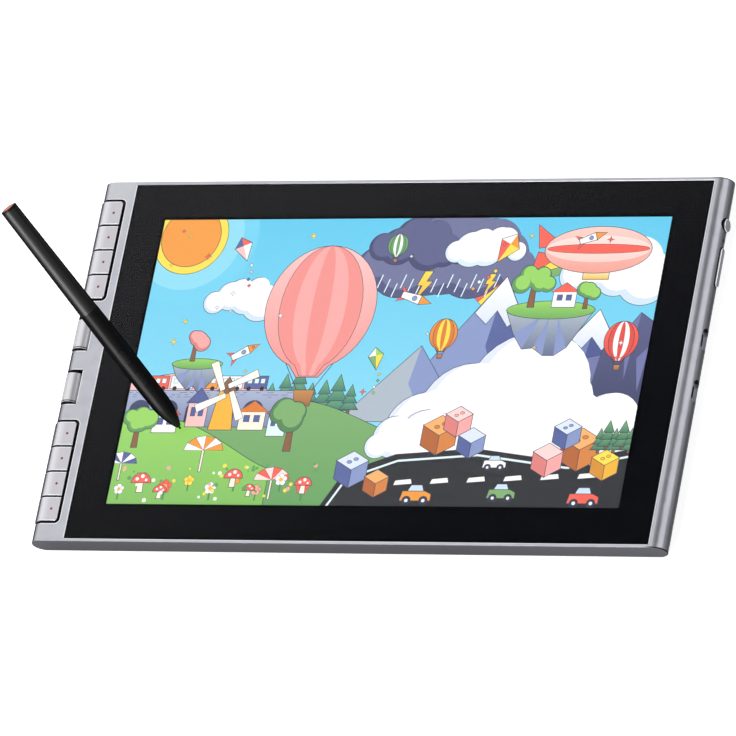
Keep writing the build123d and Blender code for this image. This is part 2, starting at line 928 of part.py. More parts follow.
def grip_solid(grow):
    """The outer form of the grip: a rounded nose, a soft waist, then the seam."""
    nose_end = nose_start + nose_length
    nose = ThreePointArc(
        (nose_radius + grow, nose_start),
        ((nose_radius + grip_front_radius) / 2 + grow + nose_bulge / 2, nose_start + nose_length / 2),
        (grip_front_radius + grow, nose_end),
    )
    side = Spline(
        (grip_front_radius + grow, nose_end),
        (grip_waist_radius + grow, grip_waist),
        (grip_end_radius + grow, grip_end),
    )
    back = Polyline(
        (grip_end_radius + grow, grip_end),
        (0, grip_end),
        (0, nose_start),
        (nose_radius + grow, nose_start),
    )
    profile = Plane.XZ * make_face([nose, side, back])
    return revolve(profile, Axis.Z)


def button_pill(at, grow, x0, x1):
    """A slot-shaped bar standing out of the pen's axis at one button."""
    section = SlotOverall(pen_button_length + 2 * grow, pen_button_width + 2 * grow)
    plane = Plane((x0, 0, at), x_dir=(0, 0, 1), z_dir=(1, 0, 0))
    return extrude(plane * section, x1 - x0)


def pen_grip():
    """The front half of the pen, hollow, with the slots for its two buttons."""
    grip = grip_solid(0)
    grip -= rod(nib_radius + nib_hole_gap, 0, 0, 0, holder_chamber + overrun)
    grip -= rod(holder_radius + holder_gap, 0, 0, holder_chamber, coil_start)
    grip -= rod(grip_bore, 0, 0, coil_start - layer_gap, grip_end + overrun)
    for at in (front_button_at, rear_button_at):
        grip -= button_pill(at, pen_button_gap, 0, grip_waist_radius + overrun)
    return grip


def pen_barrel():
    """The rear half of the pen, with the spigot that goes into the grip."""
    body = Pos(0, 0, (grip_end + barrel_end) / 2) * Cone(
        barrel_radius, barrel_end_radius, barrel_end - grip_end
    )
    spigot = grip_bore - spigot_gap
    body += rod(spigot, 0, 0, grip_end - spigot_length, grip_end)
    bore = spigot - spigot_wall
    body -= rod(bore, 0, 0, grip_end - spigot_length - overrun, grip_end + spigot_length)
    guide_start = barrel_end - eraser_guide
    body -= rod(barrel_bore, 0, 0, grip_end + spigot_length, guide_start)
    return body - rod(eraser_stem_radius + eraser_gap, 0, 0, guide_start, pen_length)


def pen_nib():
    """The writing tip."""
    pin = rod(nib_radius, 0, 0, nib_radius, nib_length)
    return pin + Pos(0, 0, nib_radius) * Sphere(nib_radius)


def nib_holder():
    """The rod that carries the nib to the pressure sensor."""
    end = coil_start + coil_length + coil_clear
    holder = rod(holder_radius, 0, 0, holder_start, end)
    return holder - rod(nib_radius, 0, 0, holder_start, nib_length)


def pen_coil():
    """The coil round the nib holder."""
    outer = grip_bore - coil_clear
    inner = holder_radius + coil_clear
    return tube(outer, inner, coil_start, coil_start + coil_length)


def pen_sensor():
    """The pressure sensor behind the nib holder."""
    start = coil_start + coil_length + coil_clear + nib_travel + stem_free
    return rod(grip_bore - coil_clear, 0, 0, start, start + sensor_length)


def pen_board():
    """The circuit board of the pen."""
    half = pen_board_width / 2
    high = pen_board_low + pen_board_thick
    return block(pen_board_low, high, -half, half, pen_board_start, pen_board_end)


def pen_switches():
    """The switches under the two side buttons."""
    switches = []
    low = pen_board_low + pen_board_thick
    half_y = pen_switch_width / 2
    half_s = pen_switch_length / 2
    for at in (front_button_at, rear_button_at):
        high = low + pen_switch_height
        switches.append(block(low, high, -half_y, half_y, at - half_s, at + half_s))
    return switches


def pen_button(at):
    """One side button of the pen, following the grip's curve."""
    cap = grip_solid(pen_button_proud)
    cap = cap & button_pill(at, 0, pen_button_base, grip_waist_radius + overrun)
    switch_top = pen_board_low + pen_board_thick + pen_switch_height
    low = switch_top + pen_button_travel + stem_free
    post = Pos((low + pen_button_base) / 2, 0, at) * Rot(0, 90, 0) * Cylinder(
        pen_button_post, pen_button_base - low
    )
    return cap + post


def eraser_rim():
    """The dark ring at the end of the barrel."""
    return tube(barrel_end_radius, barrel_end_radius - rim_wall, barrel_end, rim_end)


def eraser_cap():
    """The orange end of the pen, on a stem that the barrel guides."""
    radius = barrel_end_radius - rim_wall - eraser_gap
    base = barrel_end + eraser_travel + fit_gap
    cap = rod(radius, 0, 0, base, pen_length)
    top = cap.faces().sort_by(Axis.Z)[-1]
    cap = fillet(top.edges(), eraser_crown)
    return cap + rod(eraser_stem_radius, 0, 0, barrel_end - eraser_stem, base)


os.makedirs("parts", exist_ok=True)

save("unibody_frame", unibody_frame())
save("rear_cover", rear_cover())
save("rubber_feet", Compound(children=rubber_feet()))
save("rear_screws", Compound(children=rear_screws()))
save("board_screws", Compound(children=board_screws()))
save("cover_glass", cover_glass())
save("glass_tape", glass_tape())
save("optical_bond", layer(0, 0, 0, bond_bottom, body_top - glass_thick))
save("lcd_cell", lcd_cell())
save("backlight_tray", backlight_tray())
save("light_guide", light_guide())
save("light_bar", light_bar())
save("digitizer_board", layer(tray_margin, tray_margin, tray_margin, digitizer_bottom, tray_bottom))
save("digitizer_shield", layer(0, 0, 0, shield_bottom, digitizer_bottom))
save("key_board", key_board())
save("key_switches", Compound(children=key_switches()))
save("roller_axles", Compound(children=roller_axles()))
save("roller_encoders", Compound(children=roller_encoders()))
save("side_board", side_board())
save("side_switches", Compound(children=side_switches()))
save("status_pipe", status_pipe())
save("power_button", power_button())
save("rocker_button", rocker_button())
save("usb_port_1", port_shell(port_1_y))
save("usb_port_2", port_shell(port_2_y))
save("usb_tongues", Compound(children=port_tongues()))
save("main_board", main_board())
save("board_chips", Compound(children=board_chips()))
save("key_ribbon", key_ribbon())
save("side_ribbon", side_ribbon())
save("display_ribbon", display_ribbon())

# Keys are numbered from the top: the upper group first, then the lower one
for number in range(keys_in_group):
    save("key_" + str(number + 1), express_key(1, keys_in_group - 1 - number))
    save("key_" + str(keys_in_group + number + 1), express_key(-1, number))

save("roller_1", roller_barrel(1))
save("roller_2", roller_barrel(-1))

save("pen_grip", in_pen(pen_grip()))
save("pen_barrel", in_pen(pen_barrel()))
save("pen_nib", in_pen(pen_nib()))
save("nib_holder", in_pen(nib_holder()))
save("pen_coil", in_pen(pen_coil()))
save("pen_sensor", in_pen(pen_sensor()))
save("pen_board", in_pen(pen_board()))
save("pen_switches", in_pen(Compound(children=pen_switches())))
save("pen_button_front", in_pen(pen_button(front_button_at)))
save("pen_button_rear", in_pen(pen_button(rear_button_at)))
save("eraser_rim", in_pen(eraser_rim()))
save("eraser_cap", in_pen(eraser_cap()))

print("body", body_width, body_height, body_thick, "pen axis", pen_axis, "buttons face", button_out)
print("pen tip", pen_tip)
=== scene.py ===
# %% [markdown]
# # A graphics tablet with a screen, dressed for a studio picture
# The solid model comes in as a fixed frame: every metal bar, key, button and board is already in
# place at its real size. This lesson gives each of them a finish, adds the printed and lit parts
# that are too thin for a solid model, and sets the lamps, the floor and the camera.

# %% Load the frame
import json
import math
import random

import bpy
from mathutils import Matrix, Vector
from mathutils.geometry import delaunay_2d_cdt


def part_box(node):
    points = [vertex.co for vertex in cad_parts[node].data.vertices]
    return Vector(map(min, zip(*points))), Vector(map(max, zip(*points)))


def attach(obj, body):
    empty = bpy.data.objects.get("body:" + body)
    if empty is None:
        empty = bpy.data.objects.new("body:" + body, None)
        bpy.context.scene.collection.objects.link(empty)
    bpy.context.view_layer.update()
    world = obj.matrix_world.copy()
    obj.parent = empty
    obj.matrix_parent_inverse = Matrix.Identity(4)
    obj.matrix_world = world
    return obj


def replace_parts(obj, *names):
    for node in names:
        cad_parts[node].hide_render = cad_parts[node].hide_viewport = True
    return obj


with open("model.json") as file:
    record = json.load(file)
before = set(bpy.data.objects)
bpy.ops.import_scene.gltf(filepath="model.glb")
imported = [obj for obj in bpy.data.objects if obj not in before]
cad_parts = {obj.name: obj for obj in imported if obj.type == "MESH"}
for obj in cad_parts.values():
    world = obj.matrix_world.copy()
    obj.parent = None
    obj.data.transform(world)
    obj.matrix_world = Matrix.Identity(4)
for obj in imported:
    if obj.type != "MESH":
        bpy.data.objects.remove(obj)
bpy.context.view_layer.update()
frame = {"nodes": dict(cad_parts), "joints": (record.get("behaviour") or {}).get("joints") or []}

MM = 0.001
nodes = frame["nodes"]


# %% Measure the frame
def box_mm(node):
    """The two corners of a node's box, in millimetres."""
    return [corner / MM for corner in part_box(node)]


glass_low, glass_high = box_mm("cover_glass")
bond_low, bond_high = box_mm("optical_bond")
tape_low, tape_high = box_mm("glass_tape")
body_low, body_high = box_mm("unibody_frame")
middle_x = (bond_low.x + bond_high.x) / 2
picture_width = bond_high.x - bond_low.x
picture_height = bond_high.y - bond_low.y
print("picture", round(picture_width, 2), "x", round(picture_height, 2), "mm")

# %% [markdown]
# ## Shader maths as Python
# A finish is a tree of small nodes. Written node by node, a sum of three terms takes ten lines, so
# one small class wraps an output socket and takes part in Python's arithmetic, and one method makes
# any other node. Colours go through the Mix node, because a Math node would turn them grey.


# %% A socket that adds and multiplies
class Value:
    """An output socket that takes part in Python's arithmetic."""

    def __init__(self, finish, socket):
        self.finish, self.socket = finish, socket

    def maths(self, operation, *others):
        return self.finish.maths(operation, self, *others)

    def __add__(self, other):
        return self.maths("ADD", other)

    def __sub__(self, other):
        return self.maths("SUBTRACT", other)

    def __rsub__(self, other):
        return self.finish.maths("SUBTRACT", other, self)

    def __mul__(self, other):
        return self.maths("MULTIPLY", other)

    def __truediv__(self, other):
        return self.maths("DIVIDE", other)

    def __pow__(self, other):
        return self.maths("POWER", other)

    def __mod__(self, other):
        return self.maths("FLOORED_MODULO", other)

    def __abs__(self):
        return self.maths("ABSOLUTE")

    __radd__, __rmul__ = __add__, __mul__

    def most(self, other):
        """The larger of the two."""
        return self.maths("MAXIMUM", other)

    def past(self, low, high):
        """0 below low, 1 above high, and a smooth step between them."""
        settings = {"interpolation_type": "SMOOTHSTEP"}
        return self.finish.node("ShaderNodeMapRange", settings, (self, low, high, 0.0, 1.0))


# %% A material that is written as a finish
def tone(code):
    """A colour written as six hexadecimal digits, in the linear numbers that shaders use."""
    parts = [int(code[i : i + 2], 16) / 255 for i in (0, 2, 4)]
    return tuple(p / 12.92 if p < 0.04045 else ((p + 0.055) / 1.055) ** 2.4 for p in parts) + (1.0,)


class Finish:
    """One material under construction."""

    def __init__(self, name):
        self.material = bpy.data.materials.new(name)
        self.material.use_nodes = True
        self.tree = self.material.node_tree
        self.tree.nodes.clear()

    def node(self, kind, settings=None, values=(), output=0):
        """A node of any type: its settings, then its sockets' numbers, colour codes or links."""
        made = self.tree.nodes.new(kind)
        for key, value in (settings or {}).items():
            setattr(made, key, value)
        for key, value in values.items() if isinstance(values, dict) else enumerate(values):
            if isinstance(value, Value):
                self.tree.links.new(value.socket, made.inputs[key])
            else:
                made.inputs[key].default_value = tone(value) if isinstance(value, str) else value
        return Value(self, made.outputs[output]) if made.outputs else None

    def maths(self, operation, *values):
        return self.node("ShaderNodeMath", {"operation": operation}, values)

    def vector(self, operation, *values, output=0):
        return self.node("ShaderNodeVectorMath", {"operation": operation}, values, output)

    def places(self):
        """The point on the piece, in millimetres: as one vector and as x, y and z."""
        point = self.node("ShaderNodeTexCoord", output="Object")
        grown = self.node("ShaderNodeVectorMath", {"operation": "SCALE"}, {0: point, "Scale": 1000.0})
        split = [self.node("ShaderNodeSeparateXYZ", None, (grown,), i) for i in range(3)]
        return grown, *split

    def noise(self, where, size, detail=2.0):
        """Soft random values from 0 to 1, whose patches are about size millimetres wide."""
        values = {"Vector": where, "Scale": 1 / size, "Detail": detail}
        return self.node("ShaderNodeTexNoise", None, values)

    def mix(self, share, first, second):
        """From the first colour to the second as share goes from 0 to 1."""
        values = {0: share, 6: first, 7: second}
        return self.node("ShaderNodeMix", {"data_type": "RGBA"}, values, 2)

    def bump(self, height, strength, depth):
        """A normal from a height of 0 to 1 that stands for depth millimetres."""
        values = {"Height": height, "Strength": strength, "Distance": depth * MM}
        return self.node("ShaderNodeBump", None, values)

    def shader(self, colour, rough, **sockets):
        """A Principled shader. In a socket's name an underscore stands for a space."""
        values = {key.replace("_", " "): value for key, value in sockets.items()}
        values.update({"Base Color": colour, "Roughness": rough})
        return self.node("ShaderNodeBsdfPrincipled", None, values)

    def end(self, shader):
        self.node("ShaderNodeOutputMaterial", None, {"Surface": shader})
        return self.material

    def surface(self, colour, rough, **sockets):
        return self.end(self.shader(colour, rough, **sockets))

    def shaded(self, shader, share, colour):
        """The shader, turning to a flat dark one where share is 1: painted shade."""
        dull_shade = self.shader(colour, 0.8, Specular_IOR_Level=0.0)
        return self.end(self.node("ShaderNodeMixShader", None, (share, shader, dull_shade)))


# %% [markdown]
# ## Satin anodised aluminium
# The body, its cover and its keys are blasted with fine beads and then anodised, which leaves a
# satin grain finer than a millimetre. It could be an image of noise, but a procedural grain stays
# sharp at any distance: one soft noise for the bump and the gloss, and a slower one for the colour.
# Painted light is laid over the grain: painted shade darkens the cut ends, most to the left, and
# their chamfer, the outer right edge, the upper outer left edge and a line by one corner, and
# painted highlights lighten the lips of the cuts and the back left part. What lies below the skin,
# in the gaps round the keys and buttons, is painted black as shade. The depth below the oval skin
# says where that is.


# %% How deep a point lies below the oval skin
BODY_MID = (body_low.z + body_high.z) / 2
HALF_THICK = (body_high.z - body_low.z) / 2
ROUND_RUN = 7.6
FLAT_END = body_high.x - ROUND_RUN


def skin_depth(x, z):
    """Millimetres below the body's oval outline, as an expression on two coordinates."""
    over = (abs(x) - FLAT_END).most(0.0) / ROUND_RUN
    up = (z - BODY_MID) / HALF_THICK
    return (1.0 - (over * over + up * up) ** 0.5) * HALF_THICK


# %% Where the body is cut, rounded and recessed
GLASS_MID = (glass_low + glass_high) / 2
POCKET = (GLASS_MID.x, 0.0, glass_high.x - GLASS_MID.x + 0.15, glass_high.y + 0.15, 1.0)
LIT_AREA = (middle_x, 0.0, picture_width / 2, picture_height / 2, 0.0)
KEY_RECESS = (-209.0, 74.95, 16.55, 34.75, 3.5)
ROLLER_SLOT = (-206.0, 18.025, 8.05, 11.675, 1.5)
GRAIN = 0.32
# Painted shade colours: far left edge; right edge and corner line (also the status light's ring);
# recesses.
LIMB_SHADE, SOFT_DARK, GAP_SHADE = "464650", "1c1c22", "0d0d10"
STATUS_MID = sum(box_mm("status_pipe"), Vector()) / 2


def band(value, low, high, soft=0.04):
    """1 between low and high, and 0 elsewhere."""
    return value.past(low - soft, low + soft) * (1.0 - value.past(high - soft, high + soft))


def outside(x, y, box):
    """Millimetres outside a rectangle, given by its middle, its half sizes and its corner radius."""
    mid_x, mid_y, half_x, half_y, corner = box
    over_x = (abs(x - mid_x) - (half_x - corner)).most(0.0)
    over_y = (abs(y - mid_y) - (half_y - corner)).most(0.0)
    return (over_x * over_x + over_y * over_y) ** 0.5 - corner


def lip_highlight(x, y, z):
    """1 on the lips of the glass pocket, key recesses and roller slots, for a painted highlight."""
    lip_light = band(outside(x, y, POCKET), -0.05, 0.5, 0.08) * (1.0 - y.past(POCKET[3] - 0.2, POCKET[3]))
    for box in (KEY_RECESS, ROLLER_SLOT):
        lip_light = lip_light.most(band(outside(x, abs(y), box), -0.05, 0.45, 0.08))
    return lip_light * z.past(body_high.z - 0.3, body_high.z - 0.25)


def bright_walls(x, y):
    """1 on the cut walls left out of the painted black shade: plug recesses and the rollers' right side.
    """
    ends = band(y - 16.4, 6.4, 7.8).most(band(y + 17.4, 6.4, 7.8))
    sockets = x.past(body_high.x - 6.0, body_high.x - 5.0) * (1.0 - abs(y + 0.5).past(26.0, 27.0))
    slots = band(x, -200.0, -197.8) * band(abs(y), 8.2, 27.8)
    return (sockets * (1.0 - ends)).most(slots)


# %% The finish of the aluminium pieces
def near_end(y, start, full):
    """0 further than start millimetres from the body's front and back ends, 1 nearer than full."""
    return abs(y).past(body_high.y - start, body_high.y - full)


def far_edge_shade(x, y, z):
    """1 along the upper outer left edge, which faces away from the lamps: painted shade."""
    upper = z.past(BODY_MID - 0.5, BODY_MID + 1.5) * (1.0 - near_end(y, 0.3, 0.1))
    return (0.0 - x).past(body_high.x - 3.8, body_high.x - 2.9) * upper


def anodised(name, light, dark, gap_from=0.42):
    """Bead-blasted aluminium with painted light. gap_from: how deep below the skin it is painted black.
    """
    f = Finish(name)
    where, x, y, z = f.places()
    fine, slow = f.noise(where, GRAIN), f.noise(where, 9.0)
    # Painted shade: the cut ends are darker, most to the left, and their chamfer is a mid grey.
    end = near_end(y, 0.12, 0.04)
    rim = near_end(y, 0.34, 0.28) * (1.0 - end)
    # Painted shade: a dark line near each end towards the right corner.
    corner = near_end(y, 0.75, 0.65) * (1.0 - end) * x.past(198.0, 205.0)
    off_y, off_z = y - STATUS_MID.y, z - STATUS_MID.z
    lamp_ring = (1.0 - (off_y * off_y + off_z * off_z).past(1.0, 1.5)) * x.past(208.0, 209.0)
    # The painted corner shade together with a dark ring round the status light.
    line = corner.most(lamp_ring)
    # Painted shade: below the skin, in the recesses, the metal is painted black.
    sunk_shade = skin_depth(x, z).past(gap_from, gap_from + 0.12)
    gap_shade = sunk_shade * (1.0 - near_end(y, 0.4, 0.3)) * (1.0 - bright_walls(x, y))
    # Painted shade: the outer right edge is darker.
    under = x.past(body_high.x - 2.4, body_high.x + 0.3) * 0.92
    # Painted light: the back left part of the top is lighter.
    back_left_light = y.past(50.0, 122.0) * (1.0 - x.past(-192.0, -186.0)) * 0.6
    # Painted highlight on the lips of the cuts, which are also less metallic.
    lip_light = lip_highlight(x, y, z)
    colour = f.mix(slow.past(0.3, 0.7), light, dark)
    for share, other in (
        (back_left_light, "bfbfc4"), (fine.past(0.25, 0.75) * 0.12, "8c8c96"), (under, SOFT_DARK),
        (end, f.mix(x.past(60.0, 200.0), "31313c", "4a4a55")), (rim, "74747d"), (line, SOFT_DARK),
        (lip_light, "f2f2f5"), (gap_shade, GAP_SHADE),
    ):
        colour = f.mix(share, colour, other)
    metal = f.shader(
        colour, 0.27 + 0.08 * fine + 0.3 * gap_shade.most(rim),
        Metallic=(1.0 - gap_shade) * (0.9 - 0.5 * lip_light), Normal=f.bump(fine, 0.2, 0.01),
    )
    return f.shaded(metal, far_edge_shade(x, y, z).most(line), f.mix(line, LIMB_SHADE, "18181d"))


BODY = anodised("anodised_body", "b2b3ba", "abacb4")
COVER = anodised("anodised_cover", "b2b3ba", "abacb4", 30.0)
print("aluminium finishes", [m.name for m in (BODY, COVER)])


# %% The keys' finish
KEY_LOW, KEY_HIGH = box_mm("key_1")
KEY_STEP = KEY_LOW.y - box_mm("key_2")[0].y
KEY_HALF, KEY_MID = (KEY_HIGH.y - KEY_LOW.y) / 2, (KEY_HIGH.y + KEY_LOW.y) / 2


def key_finish(name):
    """The same metal: a painted highlight on a key's edges and left part, painted shade below the skin.
    """
    f = Finish(name)
    where, x, y, z = f.places()
    fine = f.noise(where, GRAIN)
    row = abs((abs(y) - KEY_MID + KEY_STEP * 8.5) % KEY_STEP - KEY_STEP / 2)
    # Painted highlight: the right edge, the front and back edges, and a band on the left of each key.
    right = x.past(KEY_HIGH.x - 0.6, KEY_HIGH.x - 0.4) * 0.6
    rim = row.past(KEY_HALF - 0.75, KEY_HALF - 0.5).most(right)
    glow = band(x, KEY_LOW.x + 2.5, KEY_LOW.x + 9.0, 2.5) * 0.3
    # Painted shade: a key's flanks below the skin turn black.
    sunk_shade = 1.0 - z.past(body_high.z - 0.2, body_high.z + 0.1)
    colour = f.mix(fine.past(0.25, 0.75) * 0.12, "bdbac1", "8c8c96")
    colour = f.mix(glow.most(rim * 0.85), colour, "f6f8fb")
    colour = f.mix(sunk_shade * skin_depth(x, z).past(0.1, 0.3), colour, GAP_SHADE)
    metal = f.shader(
        colour, 0.3 + 0.08 * fine, Metallic=0.9, Normal=f.bump(fine, 0.2, 0.01)
    )
    return f.shaded(metal, far_edge_shade(x, y, z) * 0.9, LIMB_SHADE)


KEY = key_finish("key_metal")
print("key finish", KEY.name)

# %% [markdown]
# ## Rollers, buttons and polished steel
# The rollers carry a very fine crossed knurl, cut round the barrel. As real ridges it would take a
# hundred thousand faces for marks of a tenth of a millimetre, so two crossed waves in the angle
# round the axle and in the length along it drive a bump. Screws, axles and plug shells are turned
# and polished steel, with faint rings left by the tool, and the side buttons have a satin face.


# %% Knurled rollers
def roller_finish(name, node):
    """A crossed knurl round the roller's own axle. Painted shade darkens its ends and right side."""
    low, high = box_mm(node)
    f = Finish(name)
    where, x, y, z = f.places()
    mid = (low + high) / 2
    around = (z - mid.z).maths("ARCTAN2", x - mid.x) * 110.0
    along = (y - mid.y) * 9.0
    knurl = (around + along).maths("SINE") * (around - along).maths("SINE") * 0.5 + 0.5
    fine = f.noise(where, 0.4)
    # A dark line painted round the barrel near its low end.
    low_end_line = (y - low.y).past(1.03, 1.07) * (1.0 - (y - low.y).past(1.63, 1.67))
    # Painted shade: black at both ends, where the roller meets its slot.
    ends = 1.0 - band(y, low.y + 0.5, high.y - 0.5)
    # Painted shade: darker towards the right, where the roller goes down into its slot.
    right = x.past(low.x + 8.0, low.x + 11.5) * 0.25
    colour = f.mix(knurl * 0.25 + fine * 0.25 + right, "dfdfe2", "a8a8ae")
    colour = f.mix(low_end_line.most(ends), colour, "08080a")
    return f.surface(
        colour, 0.34 + 0.12 * fine, Metallic=0.85,
        Normal=f.bump(knurl, 0.35, 0.03),
    )


# %% Polished buttons
def polished(name, light, rough):
    f = Finish(name)
    where, _, y, _ = f.places()
    rings = abs((y % 0.16) * 6.0 - 0.5)
    smear = f.noise(where, 1.6)
    colour = f.mix(smear.past(0.3, 0.7), light, "b4b4bd")
    return f.surface(
        colour, rough + 0.1 * smear, Metallic=1.0, Normal=f.bump(rings, 0.1, 0.01)
    )


def side_button(name):
    """A satin face with a darker ring, a painted highlight round it, and painted shade into the recess.
    """
    f = Finish(name)
    where, x, y, z = f.places()
    face_x = box_mm("power_button")[1].x
    fine = f.noise(where, GRAIN)
    # Painted highlight on the turned edge round each face.
    bevel_highlight = band(x, face_x - 0.6, face_x - 0.12, 0.05)
    # Painted shade: the button turns dark below its face, into the recess.
    side_shade = 1.0 - x.past(face_x - 1.1, face_x - 0.8)
    colour = f.mix(fine.past(0.25, 0.75) * 0.2, "8b8c93", "6f7078")
    # A darker ring painted just inside the edge of each face.
    outline = x * 0.0
    for node in ("power_button", "rocker_button"):
        low, high = box_mm(node)
        mid, half = (low + high) / 2, (high - low) / 2
        shape = (mid.y, mid.z, half.y, half.z, min(half.y, half.z))
        outline = outline.most(band(outside(y, z, shape), -0.85, 0.3))
    colour = f.mix(outline * x.past(face_x - 0.12, face_x - 0.06), colour, "34343c")
    colour = f.mix(bevel_highlight, colour, "eeeef2")
    colour = f.mix(side_shade, colour, "101014")
    return f.surface(
        colour, 0.36 + 0.08 * fine, Metallic=0.85, Normal=f.bump(fine, 0.15, 0.01)
    )


BUTTON = side_button("button_metal")
STEEL = polished("steel", "a9a9b0", 0.26)
print("polished finishes ready")

# %% [markdown]
# ## The pen
# The barrel is moulded and painted in a satin charcoal, and the grip has a softer coat that feels
# like rubber. Both are nearly black, so what shows is their gloss: a fine stipple breaks the
# highlight on the grip, and a slow variation in the gloss keeps the barrel from looking like
# plain plastic. A painted highlight lightens the colour towards the seam, and painted shade darkens
# the pen's edges and both its flanks. Each point's distance along the pen comes from a dot product
# with its axis.


# %% The pen's own axis
PEN_AXIS = Vector(next(j["axis"] for j in frame["joints"] if j["name"] == "nib_press"))
tip_at = min((v.co.dot(PEN_AXIS) for v in nodes["pen_nib"].data.vertices)) / MM
cap_points = [v.co / MM for v in nodes["eraser_cap"].data.vertices]
cap_far = max(p.dot(PEN_AXIS) for p in cap_points)
crown = [p for p in cap_points if p.dot(PEN_AXIS) > cap_far - 0.02]
CAP_MID = sum(crown, Vector()) / len(crown)
CAP_RADIUS = max((p - CAP_MID).cross(PEN_AXIS).length for p in cap_points)
PEN_LEE = Vector((1.0, 0.2, -0.4)).cross(PEN_AXIS).cross(PEN_AXIS).normalized() * -1.0
PEN_NEAR = PEN_AXIS.cross(PEN_LEE).normalized()
PEN_NEAR = PEN_NEAR if PEN_NEAR.y < 0.0 else PEN_NEAR * -1.0
print("cap radius", round(CAP_RADIUS, 2), "mm")


# %% The pen's finishes
def pen_finish(name, light, dark, rough, stipple, depth, shine):
    """A nearly black moulding: a painted highlight towards the seam, painted shade on both flanks."""
    f = Finish(name)
    where, *_ = f.places()
    along = f.vector("DOT_PRODUCT", where, PEN_AXIS, output="Value") - tip_at
    fine = f.noise(where, stipple, 1.0)
    slow = f.noise(where, 14.0)
    # Painted highlight: the colour turns lighter towards the seam.
    seam = (1.0 - abs(along - 92.0).past(0.0, 30.0)) * 0.35
    colour = f.mix(slow.past(0.3, 0.7) * 0.5 + seam, dark, light)
    satin = f.shader(
        colour, rough + 0.08 * slow, Normal=f.bump(fine, 0.3, depth),
        Specular_IOR_Level=shine,
    )
    # Painted shade: a flat dark shader is mixed in at the edges and on both flanks of the pen.
    facing = f.node("ShaderNodeLayerWeight", None, {"Blend": 0.5}, "Facing")
    across = f.vector("DOT_PRODUCT", where, PEN_LEE, output="Value") - CAP_MID.dot(PEN_LEE)
    pen_side_shade = (across.past(0.8, 3.8) * 0.8).most((0.0 - across).past(2.2, 4.0) * 0.85)
    dull_shade = f.shader("060607", 0.9, Specular_IOR_Level=0.0)
    share = (facing.past(0.15, 0.62) * 0.95).most(pen_side_shade)
    return f.end(f.node("ShaderNodeMixShader", None, (share, satin, dull_shade)))


GRIP = pen_finish("pen_grip", "09090b", "050506", 0.38, 0.35, 0.02, 0.32)
BARREL = pen_finish("pen_barrel", "131317", "0d0d10", 0.38, 0.25, 0.006, 0.8)
PEN_BUTTON = pen_finish("pen_button", "141418", "0e0e11", 0.34, 0.2, 0.006, 0.4)
NIB = pen_finish("nib_plastic", "0b0b0c", "060607", 0.4, 0.2, 0.006, 0.3)


# %% Moulded and painted plastics
def moulded(name, light, dark, rough, grain, depth=0.02, patch=6.0, shine=0.5):
    """A coloured plastic, rubber or film, with a fine grain and a slow change of colour."""
    f = Finish(name)
    where, *_ = f.places()
    fine = f.noise(where, grain)
    slow = f.noise(where, patch)
    colour = f.mix(slow.past(0.3, 0.7), light, dark)
    return f.surface(
        colour, rough + 0.1 * fine, Normal=f.bump(fine, 0.3, depth),
        Specular_IOR_Level=shine,
    )


def cap_finish(name):
    """Orange plastic, black round the edge of its crown, the black wider on one side."""
    f = Finish(name)
    where, *_ = f.places()
    spread = f.vector("SUBTRACT", where, CAP_MID + PEN_NEAR * 0.9)
    radius = f.vector("LENGTH", f.vector("CROSS_PRODUCT", spread, PEN_AXIS), output="Value")
    fine = f.noise(where, 0.3)
    colour = f.mix(fine.past(0.3, 0.7), "e56c2e", "da6128")
    colour = f.mix(radius.past(CAP_RADIUS - 1.05, CAP_RADIUS - 0.9), colour, "0a0a0c")
    return f.surface(colour, 0.42 + 0.1 * fine, Normal=f.bump(fine, 0.3, 0.01))


CAP = cap_finish("orange_cap")
RUBBER = moulded("foot_rubber", "1c1c1e", "151517", 0.7, 0.25, 0.05)
BLACK = moulded("black_plastic", "17171a", "101012", 0.45, 0.3)
FILM = moulded("black_film", "06070e", "05060c", 0.5, 0.4, 0.004, shine=0.0)
RIBBON = moulded("ribbon", "9a6a24", "8a5d1e", 0.4, 0.8)
ACRYLIC = moulded("acrylic", "121216", "0c0c0f", 0.3, 0.6, 0.005, shine=0.2)
WHITE_SHEET = moulded("white_sheet", "e8eaec", "dfe2e6", 0.4, 0.5, 0.005)
print("plastic finishes ready")

# %% [markdown]
# ## The boards, the tray and the coil
# None of these shows while the tablet is closed, but a reader who opens it finds them finished.
# A board's solder mask carries tracks, made from two crossed rows of thin stripes, and the coil is
# a ring of fine turns.


# %% Board and winding
def board_finish(name):
    f = Finish(name)
    where, x, y, _ = f.places()
    patch = f.noise(where, 12.0, 1.0).maths("GREATER_THAN", 0.5)
    across = (x % 1.6).past(1.2, 1.25)
    along = (y % 1.6).past(1.2, 1.25)
    tracks = across * patch + along * (1.0 - patch)
    colour = f.mix(tracks, "12402c", "2a7a50")
    return f.surface(colour, 0.35 + 0.1 * tracks, Normal=f.bump(tracks, 0.3, 0.03))


def winding_finish(name):
    f = Finish(name)
    where, *_ = f.places()
    turns = (f.vector("DOT_PRODUCT", where, PEN_AXIS, output="Value") * 18.0).maths("SINE") * 0.5 + 0.5
    colour = f.mix(turns, "6f3a1c", "c07c46")
    return f.surface(colour, 0.3, Metallic=0.9, Normal=f.bump(turns, 0.6, 0.1))


BOARD, WINDING = board_finish("board"), winding_finish("copper")
TRAY = polished("tray_steel", "9c9ca4", 0.34)
print("inner finishes ready")

# %% [markdown]
# ## Glass
# The cover glass is etched and coated, so it hardly mirrors the room. A plain sheet of glass with
# a weak first reflection lets the picture through unblurred, and a thin rough coat over it adds the
# broad soft sheen that the etching gives.


